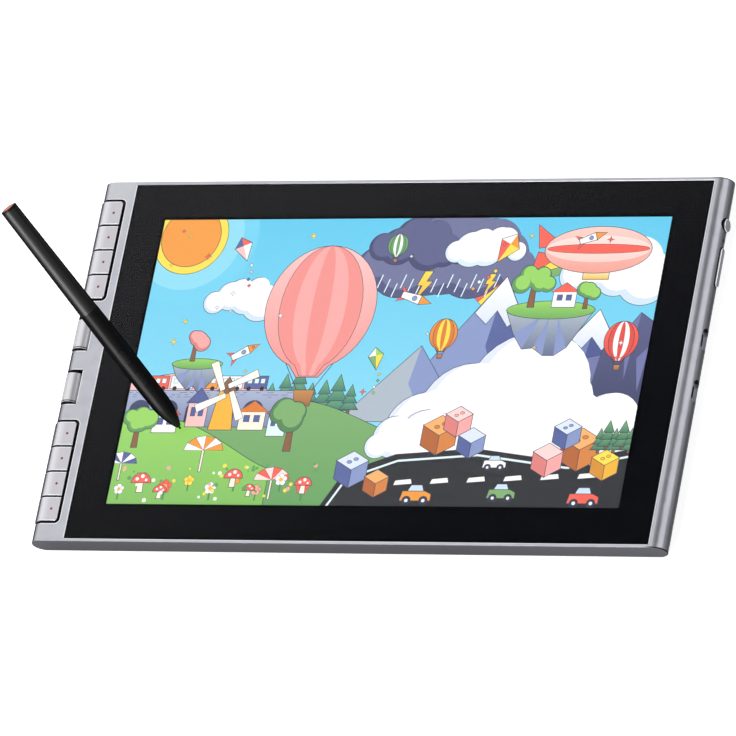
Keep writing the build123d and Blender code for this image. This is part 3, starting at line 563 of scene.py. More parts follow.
# %% The cover glass
def glass_finish(name):
    f = Finish(name)
    _, x, y, _ = f.places()
    # Painted sheen: the coat is stronger towards the upper left.
    painted_sheen = (y * 0.6 - (x - GLASS_MID.x) * 0.38).past(-110.0, 130.0) * 0.16
    edge = (0.0 - outside(x, y, POCKET)).past(0.4, 0.7)
    margin = 1.0 - band(outside(x, y, LIT_AREA), 0.3, 1.2, 0.15) * 0.8
    return f.surface(
        "ffffff", 0.0, IOR=1.01, Transmission_Weight=1.0, Specular_IOR_Level=0.06,
        Coat_Weight=(0.035 + painted_sheen) * edge * margin, Coat_Roughness=0.3, Coat_IOR=1.5,
    )


GLASS = glass_finish("front_glass")

# %% Give every node its finish
FINISHES = {
    BODY: ["unibody_frame"],
    COVER: ["rear_cover"],
    KEY: ["key_%d" % n for n in range(1, 9)],
    BUTTON: ["power_button", "rocker_button"],
    STEEL: ["rear_screws", "board_screws", "roller_axles", "usb_port_1", "usb_port_2"],
    GRIP: ["pen_grip"],
    BARREL: ["pen_barrel"],
    PEN_BUTTON: ["pen_button_front", "pen_button_rear"],
    NIB: ["pen_nib", "eraser_rim"],
    CAP: ["eraser_cap"],
    RUBBER: ["rubber_feet"],
    BLACK: ["key_switches", "roller_encoders", "side_switches", "usb_tongues", "board_chips",
            "nib_holder", "pen_sensor", "pen_switches"],
    FILM: ["glass_tape", "lcd_cell"],
    RIBBON: ["key_ribbon", "side_ribbon", "display_ribbon"],
    ACRYLIC: ["status_pipe"],
    WHITE_SHEET: ["light_guide", "light_bar", "optical_bond"],
    BOARD: ["digitizer_board", "key_board", "side_board", "main_board", "pen_board"],
    WINDING: ["pen_coil"],
    TRAY: ["backlight_tray", "digitizer_shield"],
    GLASS: ["cover_glass"],
    roller_finish("roller_metal_1", "roller_1"): ["roller_1"],
    roller_finish("roller_metal_2", "roller_2"): ["roller_2"],
}
for material, names in FINISHES.items():
    for name in names:
        slots = nodes[name].data.materials
        slots.clear()
        slots.append(material)
dressed = {name for names in FINISHES.values() for name in names}
print("dressed", len(dressed), "of", len(nodes), "left", sorted(set(nodes) - dressed))


# %% [markdown]
# ## Making a mesh piece
# Every added piece is a mesh whose place is in its points, so its object stays at the origin. Two
# helpers make it, give it its finish and hand it to the body that carries it.


# %% The helpers for pieces
def placed(name, data):
    """An object at the origin that carries a mesh, a lamp or a camera."""
    made = bpy.data.objects.new(name, data)
    bpy.context.scene.collection.objects.link(made)
    return made


def piece(name, points, faces, material, body):
    """A flat-shaded mesh from points in millimetres, riding on a body of the frame."""
    mesh = bpy.data.meshes.new(name)
    mesh.from_pydata([Vector(p) * MM for p in points], [], faces)
    mesh.materials.append(material)
    mesh.polygons.foreach_set("use_smooth", [False] * len(mesh.polygons))
    made = placed(name, mesh)
    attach(made, body)
    print(name, "faces", len(mesh.polygons))
    return made


# %% [markdown]
# ## The black border
# A screen's black border is ink on the back of its glass, and the adhesive frame holds the glass
# by its outer part. Both are black, so one piece stands for the two: a ring as thick as the
# adhesive outside, and a thin lip of ink that runs in to the edge of the picture.


# %% Ink and adhesive as one ring
def border_rings():
    """Four rectangles from the outer edge of the glass to the edge of the picture."""
    top = tape_high.z - 0.005
    under_ink = top - 0.045
    seat = 7.5
    halves = [
        (tape_low.x, tape_high.x, tape_high.y, tape_low.z),
        (tape_low.x + seat, tape_high.x - seat, tape_high.y - seat, tape_low.z),
        (tape_low.x + seat, tape_high.x - seat, tape_high.y - seat, under_ink),
        (bond_low.x, bond_high.x, bond_high.y, under_ink),
        (bond_low.x, bond_high.x, bond_high.y, top),
        (tape_low.x, tape_high.x, tape_high.y, top),
    ]
    return [[(x0, -y, z), (x1, -y, z), (x1, y, z), (x0, y, z)] for x0, x1, y, z in halves]


def border():
    rings = border_rings()
    points = [p for ring in rings for p in ring]
    faces = []
    for r in range(len(rings)):
        a, b = 4 * r, 4 * ((r + 1) % len(rings))
        for i in range(4):
            j = (i + 1) % 4
            faces.append((a + i, b + i, b + j, a + j))
    return piece("border_ink", points, faces, FILM, "tablet")


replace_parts(border(), "glass_tape")

# %% [markdown]
# ## The picture on the screen
# The lit picture is flat drawing: filled shapes with a thin ink line. Painted into a texture it
# would blur close up, so it is one flat mesh. The shapes are laid down from back to front as
# outlines, and a constrained triangulation cuts them all along each other's edges. Every triangle
# then takes the colour of the last shape that covers it, and nothing overlaps.


# %% Shapes on a sheet
INK = "27304a"
TRUNK = "8b5a35"


def ring(u, v, radius, count=28, squeeze=1.0):
    """Points round a circle, or round an oval if squeeze isn't 1."""
    turns = [2 * math.pi * i / count for i in range(count)]
    return [(u + radius * math.cos(t), v + radius * squeeze * math.sin(t)) for t in turns]


def oblong(u, v, width, height):
    return [(u, v), (u + width, v), (u + width, v + height), (u, v + height)]


def above(points, level):
    return [p for p in points if p[1] > level]


def turned(u, v, size, turn, points):
    """Points in units of a motif's size, turned and put in place."""
    spin = Matrix.Rotation(turn, 2)
    return [tuple(Vector((u, v)) + spin @ Vector(p) * size) for p in points]


def area(points):
    pairs = zip(points, points[1:] + points[:1])
    return sum(a[0] * b[1] - b[0] * a[1] for a, b in pairs) / 2


def grown(points, by):
    """An outline moved outwards, for the ink line round a shape."""
    if area(points) < 0:
        points = points[::-1]
    result = []
    for i, here in enumerate(points):
        before, after = Vector(points[i - 1]), Vector(points[(i + 1) % len(points)])
        first, second = (Vector(here) - before), (after - Vector(here))
        if first.length < 1e-6 or second.length < 1e-6:
            result.append(here)
            continue
        a = Vector((first.y, -first.x)).normalized()
        b = Vector((second.y, -second.x)).normalized()
        out = a + b
        out = out / max(out.length_squared / 2, 0.35) if out.length > 1e-6 else a
        result.append((here[0] + by * out.x, here[1] + by * out.y))
    return result


def clipped(points):
    """The part of an outline that lies on the lit picture."""
    half = (picture_width / 2, picture_height / 2)
    for axis in (0, 1):
        for way in (-1, 1):
            kept = []
            for a, b in zip(points, points[1:] + points[:1]):
                da, db = half[axis] - way * a[axis], half[axis] - way * b[axis]
                if da >= 0:
                    kept.append(a)
                if da * db < 0:
                    t = da / (da - db)
                    kept.append((a[0] + t * (b[0] - a[0]), a[1] + t * (b[1] - a[1])))
            points = kept
            if not points:
                return points
    return points


# %% The sheet and its brush
class Sheet:
    """Filled outlines in the order in which they were painted."""

    def __init__(self):
        self.shapes = []

    def fill(self, outlines, top, bottom=None, line=0.4):
        """One shape of one or more outlines, shaded from its bottom colour to its top one."""
        heights = [v for outline in outlines for u, v in outline]
        low, high = min(heights), max(heights)
        colours = (tone(bottom or top), tone(top), low, high)
        ink = (tone(INK), tone(INK), low, high)
        if line:
            for outline in outlines:
                self.put(grown(outline, line), ink)
        for outline in outlines:
            self.put(outline, colours)

    def put(self, outline, colours):
        inside = clipped(list(outline))
        if len(inside) > 2 and abs(area(inside)) > 1e-3:
            self.shapes.append((inside if area(inside) > 0 else inside[::-1], colours))

    def draw(self, u, v, size, points, top, bottom=None, line=0.4):
        """One shape, its points given in units of its own size from the point u, v."""
        self.fill([[(u + size * a, v + size * b) for a, b in points]], top, bottom, line)

    def dots(self, u, v, size, spots, colour, count=14, line=0, squeeze=1.0):
        """Round spots, each given as across, up and radius in units of a motif's size."""
        for a, b, radius in spots:
            outline = ring(u + a * size, v + b * size, radius * size, count, squeeze)
            self.fill([outline], colour, line=line)

    def stroke(self, points, width, colour):
        """A line of some width through a run of points."""
        for a, b in zip(points, points[1:]):
            run = Vector(b) - Vector(a)
            side = Vector((-run.y, run.x)).normalized() * width / 2
            ends = ((a, -1), (b, -1), (b, 1), (a, 1))
            self.fill([[(p[0] + way * side.x, p[1] + way * side.y) for p, way in ends]], colour, line=0)


# %% Motifs: clouds, trees and hills
def cloud(s, u, v, width, seed, white="ffffff", shade="d5e6f7"):
    """A heap of round puffs on a flat base."""
    rand = random.Random(seed)
    count = max(4, int(width / 9))
    puffs = []
    for i in range(count):
        t = (i + 0.5) / count
        size = width * (0.1 + 0.13 * math.sin(math.pi * t)) * rand.uniform(0.85, 1.2)
        puffs.append((u - width / 2 + width * t, v + size * rand.uniform(0.2, 0.9), size))
    puffs.append((u - width * 0.08, v + width * 0.2, width * 0.17))
    puffs.append((u + width * 0.14, v + width * 0.24, width * 0.15))
    s.fill([ring(a, b, r) for a, b, r in puffs], shade)
    s.fill([ring(a + r * 0.1, b + r * 0.13, r * 0.88) for a, b, r in puffs], white, line=0)


def tree(s, u, v, size, seed, light="97d560", dark="5f9e5a"):
    rand = random.Random(seed)
    s.draw(u, v, size, ((-0.08, 0), (0.08, 0), (0.05, 0.6), (-0.05, 0.6)), TRUNK)
    tufts = []
    for _ in range(6):
        a, b = u + size * rand.uniform(-0.34, 0.34), v + size * rand.uniform(0.55, 0.95)
        tufts.append((a, b, size * rand.uniform(0.2, 0.3)))
    s.fill([ring(a, b, r, 20) for a, b, r in tufts], dark)
    s.fill([ring(a + r * 0.12, b + r * 0.15, r * 0.78, 20) for a, b, r in tufts], light, line=0)


def hill(s, u, v, width, height, top, bottom):
    """A long rounded rise that runs off the lower edge."""
    shares = [i / 40 for i in range(41)]
    crest = [(u - width / 2 + width * t, v + height * math.sin(math.pi * t) ** 1.3) for t in shares]
    s.fill([crest[::-1] + [(u - width / 2, v - 60), (u + width / 2, v - 60)]], top, bottom)


def mountain(s, u, v, width, height, light, dark, snow=True):
    """Two faceted slopes and a broken cap of snow."""

    def at(*places):
        return [[(u + width * across, v + height * up) for across, up in places]]

    s.fill(at((-0.5, 0), (0.5, 0), (0.06, 1)), light)
    s.fill(at((0.01, 0.5), (0.18, 0), (0.5, 0), (0.06, 1)), dark, line=0)
    if snow:
        cap = at((0.06, 1), (-0.08, 0.74), (-0.01, 0.66), (0.04, 0.76), (0.11, 0.64), (0.18, 0.72))
        s.fill(cap, "ffffff", "d9e4f5")


# %% Motifs: balloons, kites and rockets
def balloon(s, u, v, radius, colours):
    """A striped envelope with its ropes and basket."""
    tall = 1.12

    def skirt(share, deep):
        corners = ((-0.62, 0.7), (0.62, 0.7), (0.2, deep), (-0.2, deep))
        return [(u + radius * a * share, v - radius * b) for a, b in corners]

    for side in (-1, 1):
        foot = (u + side * radius * 0.14, v - radius * 1.5)
        s.stroke([(u + side * radius * 0.5, v - radius * 0.9), foot], 0.5, INK)
    basket = ((-0.18, -1.5), (0.18, -1.5), (0.14, -1.78), (-0.14, -1.78))
    s.draw(u, v, radius, basket, "c98a4b", "9c6532")
    s.fill([ring(u, v, radius, 48, tall), skirt(1, 1.26)], colours[0], colours[1])
    for share, pick, line in ((0.74, 1, 0.3), (0.46, 2, 0), (0.16, 1, 0)):
        stripe = ring(u, v, radius * share, 40, tall / share)
        s.fill([stripe, skirt(share, 1.24)], colours[pick], line=line)


def kite(s, u, v, size, turn, colours):
    """A diamond in four colours and a tail of bows."""
    ends = turned(u, v, size, turn, ((0, 1.0), (0.7, 0.25), (0, -1.1), (-0.7, 0.25)))
    middle = turned(u, v, size, turn, [(0, 0.25)])[0]
    s.fill([ends], colours[0])
    for k in range(4):
        s.fill([[ends[k], ends[(k + 1) % 4], middle]], colours[k], line=0)
    tail = [(math.sin(k * 1.3) * 0.3, -0.55 * k) for k in range(1, 5)]
    for k, bow in enumerate(turned(*ends[2], size, turn, tail), 1):
        s.fill([ring(*bow, size * 0.13, 4)], colours[k % 4], line=0.25)


def rocket(s, u, v, size, turn):
    """A toy rocket with two fins and a round window."""
    for points, colour in (
        (((-0.5, 0.18), (-0.95, 0.45), (-0.7, 0.0), (-0.95, -0.45), (-0.5, -0.18)), "f8604f"),
        (((-0.75, 0.16), (0.35, 0.24), (0.35, -0.24), (-0.75, -0.16)), "ffffff"),
        (((0.35, 0.24), (1.0, 0.0), (0.35, -0.24)), "f39a33"),
    ):
        s.fill([turned(u, v, size, turn, points)], colour)
    s.dots(u, v, size, [(0, 0, 0.13)], "8797c7", 16, 0.25)


# %% Motifs: houses, mills, blocks and small things
def house(s, u, v, width, height, wall, roof):
    s.fill([oblong(u, v, width, height)], wall)
    eaves, ridge = v + height, v + height * 1.6
    s.fill([[(u - width * 0.1, eaves), (u + width * 1.1, eaves), (u + width * 0.5, ridge)]], roof)
    for share in (0.18, 0.58):
        window = oblong(u + width * share, v + height * 0.45, width * 0.22, height * 0.35)
        s.fill([window], "52609c", line=0.25)


def windmill(s, u, v, size, wall, roof):
    """A tapered mill with a pointed cap and four sails."""
    s.draw(u, v, size, ((-0.3, 0), (0.3, 0), (0.18, 1), (-0.18, 1)), wall)
    s.draw(u, v, size, ((-0.24, 1), (0.24, 1), (0, 1.35)), roof)
    for k in range(4):
        sail = ((0.06, 0.04), (0.85, 0.04), (0.85, 0.24), (0.06, 0.16))
        sail = turned(u, v + size, size, 0.4 + k * math.pi / 2, sail)
        s.fill([sail], "fff4e0", "ffffff", line=0.3)
    s.dots(u, v, size, [(0, 1, 0.07)], roof, line=0.4)


def block(s, u, v, size, colours, studs=False):
    """A cube seen from above, in three shades."""
    a = 0.87
    s.draw(u, v, size, ((0, 0), (a, 0.5), (a, 1.5), (0, 1)), colours[1])
    s.draw(u, v, size, ((0, 0), (0, 1), (-a, 1.5), (-a, 0.5)), colours[2])
    s.draw(u, v, size, ((0, 1), (a, 1.5), (0, 2), (-a, 1.5)), colours[0])
    if studs:
        spots = ((-0.174, 1.42, 0.13), (0.174, 1.58, 0.13))
        s.dots(u, v, size, spots, colours[1], line=0.25, squeeze=0.6)


def mushroom(s, u, v, size):
    s.draw(u, v, size, ((-0.16, 0), (0.16, 0), (0.11, 0.6), (-0.11, 0.6)), "fff4e0")
    s.fill([above(ring(u, v + size * 0.5, size * 0.5, 28, 0.95), v + size * 0.49)], "f8604f")
    spots = ((-0.22, 0.68, 0.09), (0.05, 0.82, 0.1), (0.26, 0.63, 0.07))
    s.dots(u, v, size, spots, "ffffff")


def sparkle(s, u, v, size, colour):
    arms = [(0.3 if i % 2 else 1.0, i * math.pi / 4) for i in range(8)]
    s.draw(u, v, size, [(r * math.cos(t), r * math.sin(t)) for r, t in arms], colour, line=0.25)


def island(s, u, v, width, seed):
    """A floating rock with grass on top."""
    rand = random.Random(seed)
    rock = [(u - width / 2, v), (u + width / 2, v)]
    for i in range(1, 8):
        t = i / 8
        deep = width * 0.55 * math.sin(math.pi * t) ** 0.8 * rand.uniform(0.75, 1.15)
        rock.append((u + width / 2 - width * t, v - deep))
    s.fill([rock], "adbac6", "5f6c92")
    for i in (3, 5, 7):
        facet = [rock[i], rock[i + 1], (u + (rock[i][0] - u) * 0.4, v - width * 0.08)]
        s.fill([facet], "8797c7", line=0)
    s.fill([ring(u, v, width / 2, 40, 0.2)], "97d560", "6fae58")


# %% Motifs: a bridge with a train, cars, parasols and plants
def viaduct(s, u, v, width, height, count):
    """A blue-grey bridge of arches, with a few of its bricks drawn."""
    rand = random.Random(5)
    step = width / count
    foot, spring = v - height, v - height * 0.55
    s.fill([oblong(u, foot, width, height)], "a9b4d0", "7c88ad")
    for k in range(count):
        mid, radius = u + step * (k + 0.5), step * 0.34
        crown = above(ring(mid, spring, radius, 32), spring)
        s.fill([crown + [(mid - radius, foot), (mid + radius, foot)]], "39406b", "232846")
    for _ in range(int(width * 0.7)):
        a, b = u + rand.uniform(0, width - 4), v - 1.4 - 1.5 * rand.randrange(0, 3)
        s.fill([oblong(a, b, 2.6, 0.35)], "5d6890", line=0)


def train(s, u, v, size, colours):
    for k, colour in enumerate(colours):
        a = u + k * size * 1.12
        s.fill([oblong(a, v + size * 0.1, size, size * 0.55)], colour)
        for share in (0.12, 0.42, 0.7):
            window = oblong(a + size * share, v + size * 0.34, size * 0.18, size * 0.2)
            s.fill([window], "e3f6fb", line=0.2)
        s.dots(a, v, size, ((0.2, 0.1, 0.1), (0.8, 0.1, 0.1)), "10131c")


def car(s, u, v, size, colour):
    s.draw(u, v, size, ((-0.3, 0.26), (0.26, 0.26), (0.16, 0.5), (-0.18, 0.5)), "cfe3f5")
    s.draw(u, v, size, ((-0.5, 0), (0.5, 0), (0.5, 0.2), (0.3, 0.3), (-0.44, 0.3)), colour)
    for a in (-0.28, 0.28):
        s.dots(u, v, size, [(a, 0, 0.13)], "232846", 16, 0.4)
        s.dots(u, v, size, [(a, 0, 0.06)], "ffffff", 10)


def parasol(s, u, v, size, first, second):
    s.fill([oblong(u - size * 0.03, v, size * 0.06, size)], "fff4e0")
    for k in range(6):
        turns = (math.pi * k / 6, math.pi * (k + 1) / 6)
        rim = [(0.7 * math.cos(t), 0.75 + 0.5 * math.sin(t)) for t in turns]
        s.draw(u, v, size, [(0, 0.75), *rim], second if k % 2 else first, line=0.25)


def flower(s, u, v, size, petal):
    s.stroke([(u, v), (u, v + size)], size * 0.14, "4d8550")
    turns = [2 * math.pi * k / 5 + 0.3 for k in range(5)]
    petals = [(0.28 * math.cos(t), 1 + 0.28 * math.sin(t), 0.22) for t in turns]
    s.dots(u, v, size, petals, petal, 12, 0.2)
    s.dots(u, v, size, [(0, 1, 0.17)], "f7b733", 12)


def pine(s, u, v, size, light="6fb07f", dark="3d7e6c"):
    s.fill([oblong(u - size * 0.05, v, size * 0.1, size * 0.2)], TRUNK)
    for k in range(3):
        wide, low = 0.34 - 0.08 * k, 0.14 + 0.25 * k
        s.draw(u, v, size, ((-wide, low), (wide, low), (0, low + 0.4)), light, dark)


def airship(s, u, v, size, colours):
    """A long striped gas bag with fins and a cabin."""
    for side in (-1, 1):
        fin = ((-0.36, side * 0.06), (-0.6, side * 0.24), (-0.56, side * 0.02))
        s.draw(u, v, size, fin, colours[2])
    s.fill([oblong(u - size * 0.1, v - size * 0.28, size * 0.24, size * 0.1)], "fff4e0", "f7c331")
    s.fill([ring(u, v, size * 0.5, 56, 0.44)], colours[0], colours[1])
    s.fill([ring(u, v + size * 0.01, size * 0.49, 56, 0.26)], colours[3], colours[0], line=0)
    s.fill([ring(u, v + size * 0.01, size * 0.48, 56, 0.09)], colours[2], line=0.25)


def lightning(s, u, v, size):
    zigzag = (0, 0), (0.3, 0), (0.1, -0.4), (0.34, -0.4), (-0.2, -1.1), (-0.02, -0.55), (-0.22, -0.55)
    s.draw(u, v, size, zigzag, "ffe14a", "f7b733")


# %% Compose the picture
def each(s, motif, *places):
    """Draws one motif at several places, each given as the rest of its values."""
    for place in places:
        motif(s, *place)


def sky(s):
    """A sun, a rainbow, a storm cloud and an airship."""
    background = oblong(-picture_width / 2, -picture_height / 2, picture_width, picture_height)
    s.fill([background], "5ac8ec", "93e0f6", line=0)
    s.dots(-150, 84, 1, [(0, 0, 46)], "6fd2f0", 48)
    s.dots(-150, 84, 1, [(0, 0, 36)], "8cdcf3", 48)
    s.dots(-150, 84, 1, [(0, 0, 25)], "ffe14a", 48, 0.4)
    s.dots(-150, 84, 1, [(0, 0, 20)], "f39a33", 48, 0.4)
    turns = [0.9 + 0.05 * i for i in range(31)]
    for radius, colour in ((96, "f8604f"), (91, "ffe14a"), (86, "7cae6a")):
        outer, inner = (
            [(120 + r * math.cos(t), -22 + r * math.sin(t)) for t in turns] for r in (radius, radius - 5)
        )
        s.fill([outer + inner[::-1]], colour, line=0.3)
    cloud(s, 26, 58, 104, 3, "6b7099", "4a4f7c")
    cloud(s, 8, 70, 62, 19, "565b88", "3c4170")
    for k in range(16):
        drop = [(-14 + 5.2 * k, 58 - 3 * (k % 3)), (-16.5 + 5.2 * k, 49 - 3 * (k % 3))]
        s.stroke(drop, 0.7, "e3f6fb")
    lightning(s, 14, 60, 17)
    lightning(s, 58, 58, 12)
    cloud(s, 52, 70, 50, 29, shade="dcecf9")
    cloud(s, 146, 50, 74, 5)
    airship(s, 126, 74, 70, ("fbd0c6", "f2a092", "f8604f", "ffe3dc"))
    cloud(s, -104, 36, 52, 9)


def far_land(s):
    """Mountains, a cliff, pines and a bridge with a train."""
    each(
        s, mountain, (62, -36, 120, 92, "8797c7", "52609c"), (128, -40, 110, 74, "6f7fb5", "465390"),
        (16, -40, 84, 50, "adbac6", "8797c7", False),
    )
    cliff = [
        (171, -44), (171, 26), (162, 32), (154, 20), (146, 22),
        (140, 4), (131, 2), (127, -14), (116, -20), (108, -44),
    ]
    s.fill([cliff], "565b88", "2b3058")
    for facet in (
        [(162, 32), (154, 20), (158, -12)], [(140, 4), (131, 2), (136, -26)],
        [(171, 10), (164, 2), (168, -20)], [(127, -14), (116, -20), (122, -36)],
    ):
        s.fill([facet], "6f76a8", line=0)
    hill(s, -130, -34, 190, 26, "f8c7c4", "f5a9a6")
    for k in range(7):
        pine(s, -74 + 9 * k, -34 + 2.5 * math.sin(k), 18 + 4 * (k % 3))
    hill(s, -60, -48, 150, 22, "7cae6a", "5f9e5a")
    viaduct(s, -171, -20, 116, 24, 6)
    train(s, -160, -20, 15, ("f8604f", "ffffff", "f39a33", "ffffff", "52609c"))


def air(s):
    """Low clouds, balloons and two floating rocks."""
    cloud(s, 92, -58, 150, 11, shade="e3e9fb")
    cloud(s, 34, -62, 70, 14, shade="dfe9fb")
    each(
        s, balloon, (-52, 36, 37, ("f8c7c4", "f2918c", "f5a9a6")),
        (34, 18, 9, ("f39a33", "e07a24", "ffe14a")), (152, 14, 11, ("f8604f", "e0493c", "ffffff")),
        (-8, 78, 6.5, ("7cae6a", "5f9e5a", "ffffff")),
    )
    island(s, 102, 34, 58, 21)
    tree(s, 88, 36, 26, 31)
    house(s, 102, 36, 15, 10, "ffffff", "f8604f")
    tree(s, 124, 35, 16, 33)
    island(s, -128, -2, 34, 23)
    tree(s, -132, 0, 18, 35, "f5a9a6", "e0807c")


def town_and_road(s):
    """A town on a hill, a road with cars and heaps of blocks."""
    hill(s, -150, -72, 170, 34, "97d560", "6fae58")
    each(
        s, house, (-150, -48, 16, 12, "ffffff", "f8604f"), (-128, -44, 13, 16, "f8c7c4", "52609c"),
        (-92, -46, 17, 12, "fff4e0", "e07a24"), (-72, -50, 12, 15, "e3f6fb", "f8604f"),
    )
    windmill(s, -104, -46, 26, "f7b733", TRUNK)
    tree(s, -160, -58, 24, 41)
    tree(s, -56, -60, 30, 43, "7cae6a", "4d8550")
    road = [(-26, -96), (-14, -74), (18, -62), (70, -58), (130, -66), (171, -58), (171, -96)]
    s.fill([road], "10131c")
    s.stroke([(u + 2, v - 4) for u, v in road[:-1]], 1.4, "e3f6fb")
    for k in range(6):
        s.draw(20 + 24 * k, -82 + k, 1, ((0, 0), (12, 1), (11, 4), (1, 3)), "ffffff", line=0)
    each(
        s, car, (36, -92, 20, "f39a33"), (92, -90, 18, "7cae6a"), (146, -93, 20, "f8604f"),
        (84, -70, 15, "ffffff"),
    )
    warm, cool = ("f6b26b", "d9823b", "b5622a"), ("dfe9fb", "8797c7", "52609c")
    rose, gold = ("fbd7d4", "f5a9a6", "e0807c"), ("ffe14a", "f3b733", "d9912b")
    each(
        s, block, (44, -62, 13, warm, True), (66, -64, 10, cool), (55, -50, 10, rose, True),
        (138, -72, 14, warm, True), (118, -76, 11, rose), (128, -58, 10, cool, True),
        (156, -78, 10, gold, True), (-10, -84, 12, cool, True), (8, -90, 9, warm),
    )


def garden(s):
    """Parasols, flowers, pines and mushrooms along the lower edge."""
    each(
        s, parasol, (-112, -74, 19, "f39a33", "ffffff"), (-62, -92, 17, "f8604f", "ffe3dc"),
        (-166, -80, 15, "52609c", "ffffff"),
    )
    petals = ("ffffff", "f5a9a6", "f8604f", "ffe14a", "ffffff", "f39a33", "f5a9a6", "ffffff", "f8604f")
    for k, petal in enumerate(petals):
        flower(s, -164 + 15.5 * k, -93 + 6 * (k % 2), 7 + (k % 3), petal)
    for k in range(5):
        pine(s, 150 + 5 * k, -60 + 2 * (k % 2), 15 + 3 * (k % 2), "7cae6a", "3f7a63")
    each(s, mushroom, (-150, -88, 13), (-136, -92, 9), (-88, -84, 12), (-76, -90, 8), (-40, -88, 11))


def small_things(s):
    """Kites, rockets, sparkles and petals."""
    each(
        s, kite, (66, 76, 10, -0.5, ("f39a33", "ffe14a", "f8604f", "ffffff")),
        (-112, 76, 8, 0.4, ("f8604f", "ffffff", "f8c7c4", "52609c")),
        (-8, 2, 7, 0.2, ("97d560", "ffe14a", "7cae6a", "ffffff")),
    )
    each(s, rocket, (-98, 6, 11, 0.5), (10, 42, 12, -0.3), (120, 82, 10, 0.35))
    rand = random.Random(77)
    for _ in range(22):
        u, v, size = rand.uniform(-160, 160), rand.uniform(-30, 90), rand.uniform(1.2, 2.6)
        sparkle(s, u, v, size, rand.choice(("ffe14a", "ffffff", "f8604f")))
    for _ in range(46):
        u, v, radius = rand.uniform(-168, -30), rand.uniform(-94, -66), rand.uniform(0.6, 1.5)
        s.fill([ring(u, v, radius, 8)], rand.choice(("ffe14a", "ffffff", "f5a9a6", "5f9e5a")), line=0)


SHEET = Sheet()
for layer in (sky, far_land, air, town_and_road, garden, small_things):
    layer(SHEET)
print("shapes on the sheet", len(SHEET.shapes))


# %% Cut the sheet into one flat mesh
def flat_picture(sheet, z):
    """Triangles that don't overlap, each in the colour of the last shape that covers it."""
    points, outlines = [], []
    for outline, colours in sheet.shapes:
        outlines.append(list(range(len(points), len(points) + len(outline))))
        points += [Vector(p) for p in outline]
    flat, _, faces, _, _, owners = delaunay_2d_cdt(points, [], outlines, 1, 1e-5, True)
    shown = [(face, max(owner)) for face, owner in zip(faces, owners) if owner]
    points = [(p.x + middle_x, p.y, z) for p in flat]
    made = piece("screen_picture", points, [f for f, _ in shown], PICTURE, "tablet")
    shades = []
    spans = made.data.uv_layers.new(name="across").uv
    for polygon, (_, owner) in zip(made.data.polygons, shown):
        bottom, top, low, high = sheet.shapes[owner][1]
        for corner in polygon.loop_indices:
            u, v = flat[made.data.loops[corner].vertex_index]
            spans[corner].vector = (0.5 + u / picture_width, 0.5 + v / picture_height)
            t = min(max((v - low) / max(high - low, 1e-6), 0.0), 1.0)
            shades += [b + (a - b) * t for a, b in zip(top, bottom)]
    paint = made.data.color_attributes.new("paint", "FLOAT_COLOR", "CORNER")
    paint.data.foreach_set("color", shades)
    return made


# %% The light of the picture
def picture_finish(name):
    """The colour comes from the mesh. A soft grain like that of a drawing brush varies it."""
    f = Finish(name)
    where, *_ = f.places()
    paint = f.node("ShaderNodeAttribute", {"attribute_name": "paint"}, (), "Color")
    grain = f.noise(where, 0.9)
    colour = f.mix(grain.past(0.3, 0.8) * 0.05, paint, "000000")
    return f.surface(
        "050506", 0.4, Emission_Color=colour, Emission_Strength=1.06
    )


PICTURE = picture_finish("picture")
screen = flat_picture(SHEET, (bond_low.z + bond_high.z) / 2)
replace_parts(screen, "optical_bond")

# %% [markdown]
# ## Dots on the keys
# Each key has a small raised dot right of its middle, so that a thumb finds it. The dot is the same
# eight times, so a Geometry Nodes tree makes it: it stands one low dome on each given point. The
# instances are made real, because an export drops instances, and each key gets its own mesh.


# %% A node tree that stands domes on points
def dome_tree(name, material):
    """Low domes on the points of the mesh that carries the modifier."""
    tree = bpy.data.node_groups.new(name, "GeometryNodeTree")
    tree.interface.new_socket("Geometry", in_out="INPUT", socket_type="NodeSocketGeometry")
    for label in ("Radius", "Height"):
        tree.interface.new_socket(label, in_out="INPUT", socket_type="NodeSocketFloat")
    tree.interface.new_socket("Geometry", in_out="OUTPUT", socket_type="NodeSocketGeometry")
    made = {
        key: tree.nodes.new(kind)
        for key, kind in (
            ("in", "NodeGroupInput"), ("ball", "GeometryNodeMeshUVSphere"),
            ("size", "ShaderNodeCombineXYZ"), ("shape", "GeometryNodeTransform"),
            ("stand", "GeometryNodeInstanceOnPoints"), ("real", "GeometryNodeRealizeInstances"),
            ("paint", "GeometryNodeSetMaterial"), ("out", "NodeGroupOutput"),
        )
    }
    for label, value in (("Segments", 24), ("Rings", 10), ("Radius", 1.0)):
        made["ball"].inputs[label].default_value = value
    made["paint"].inputs["Material"].default_value = material
    for a, out, b, into in (
        ("in", "Radius", "size", "X"), ("in", "Radius", "size", "Y"), ("in", "Height", "size", "Z"),
        ("ball", "Mesh", "shape", "Geometry"), ("size", "Vector", "shape", "Scale"),
        ("in", "Geometry", "stand", "Points"), ("shape", "Geometry", "stand", "Instance"),
        ("stand", "Instances", "real", "Geometry"), ("real", "Geometry", "paint", "Geometry"),
        ("paint", "Geometry", "out", "Geometry"),
    ):
        tree.links.new(made[a].outputs[out], made[b].inputs[into])
    return tree


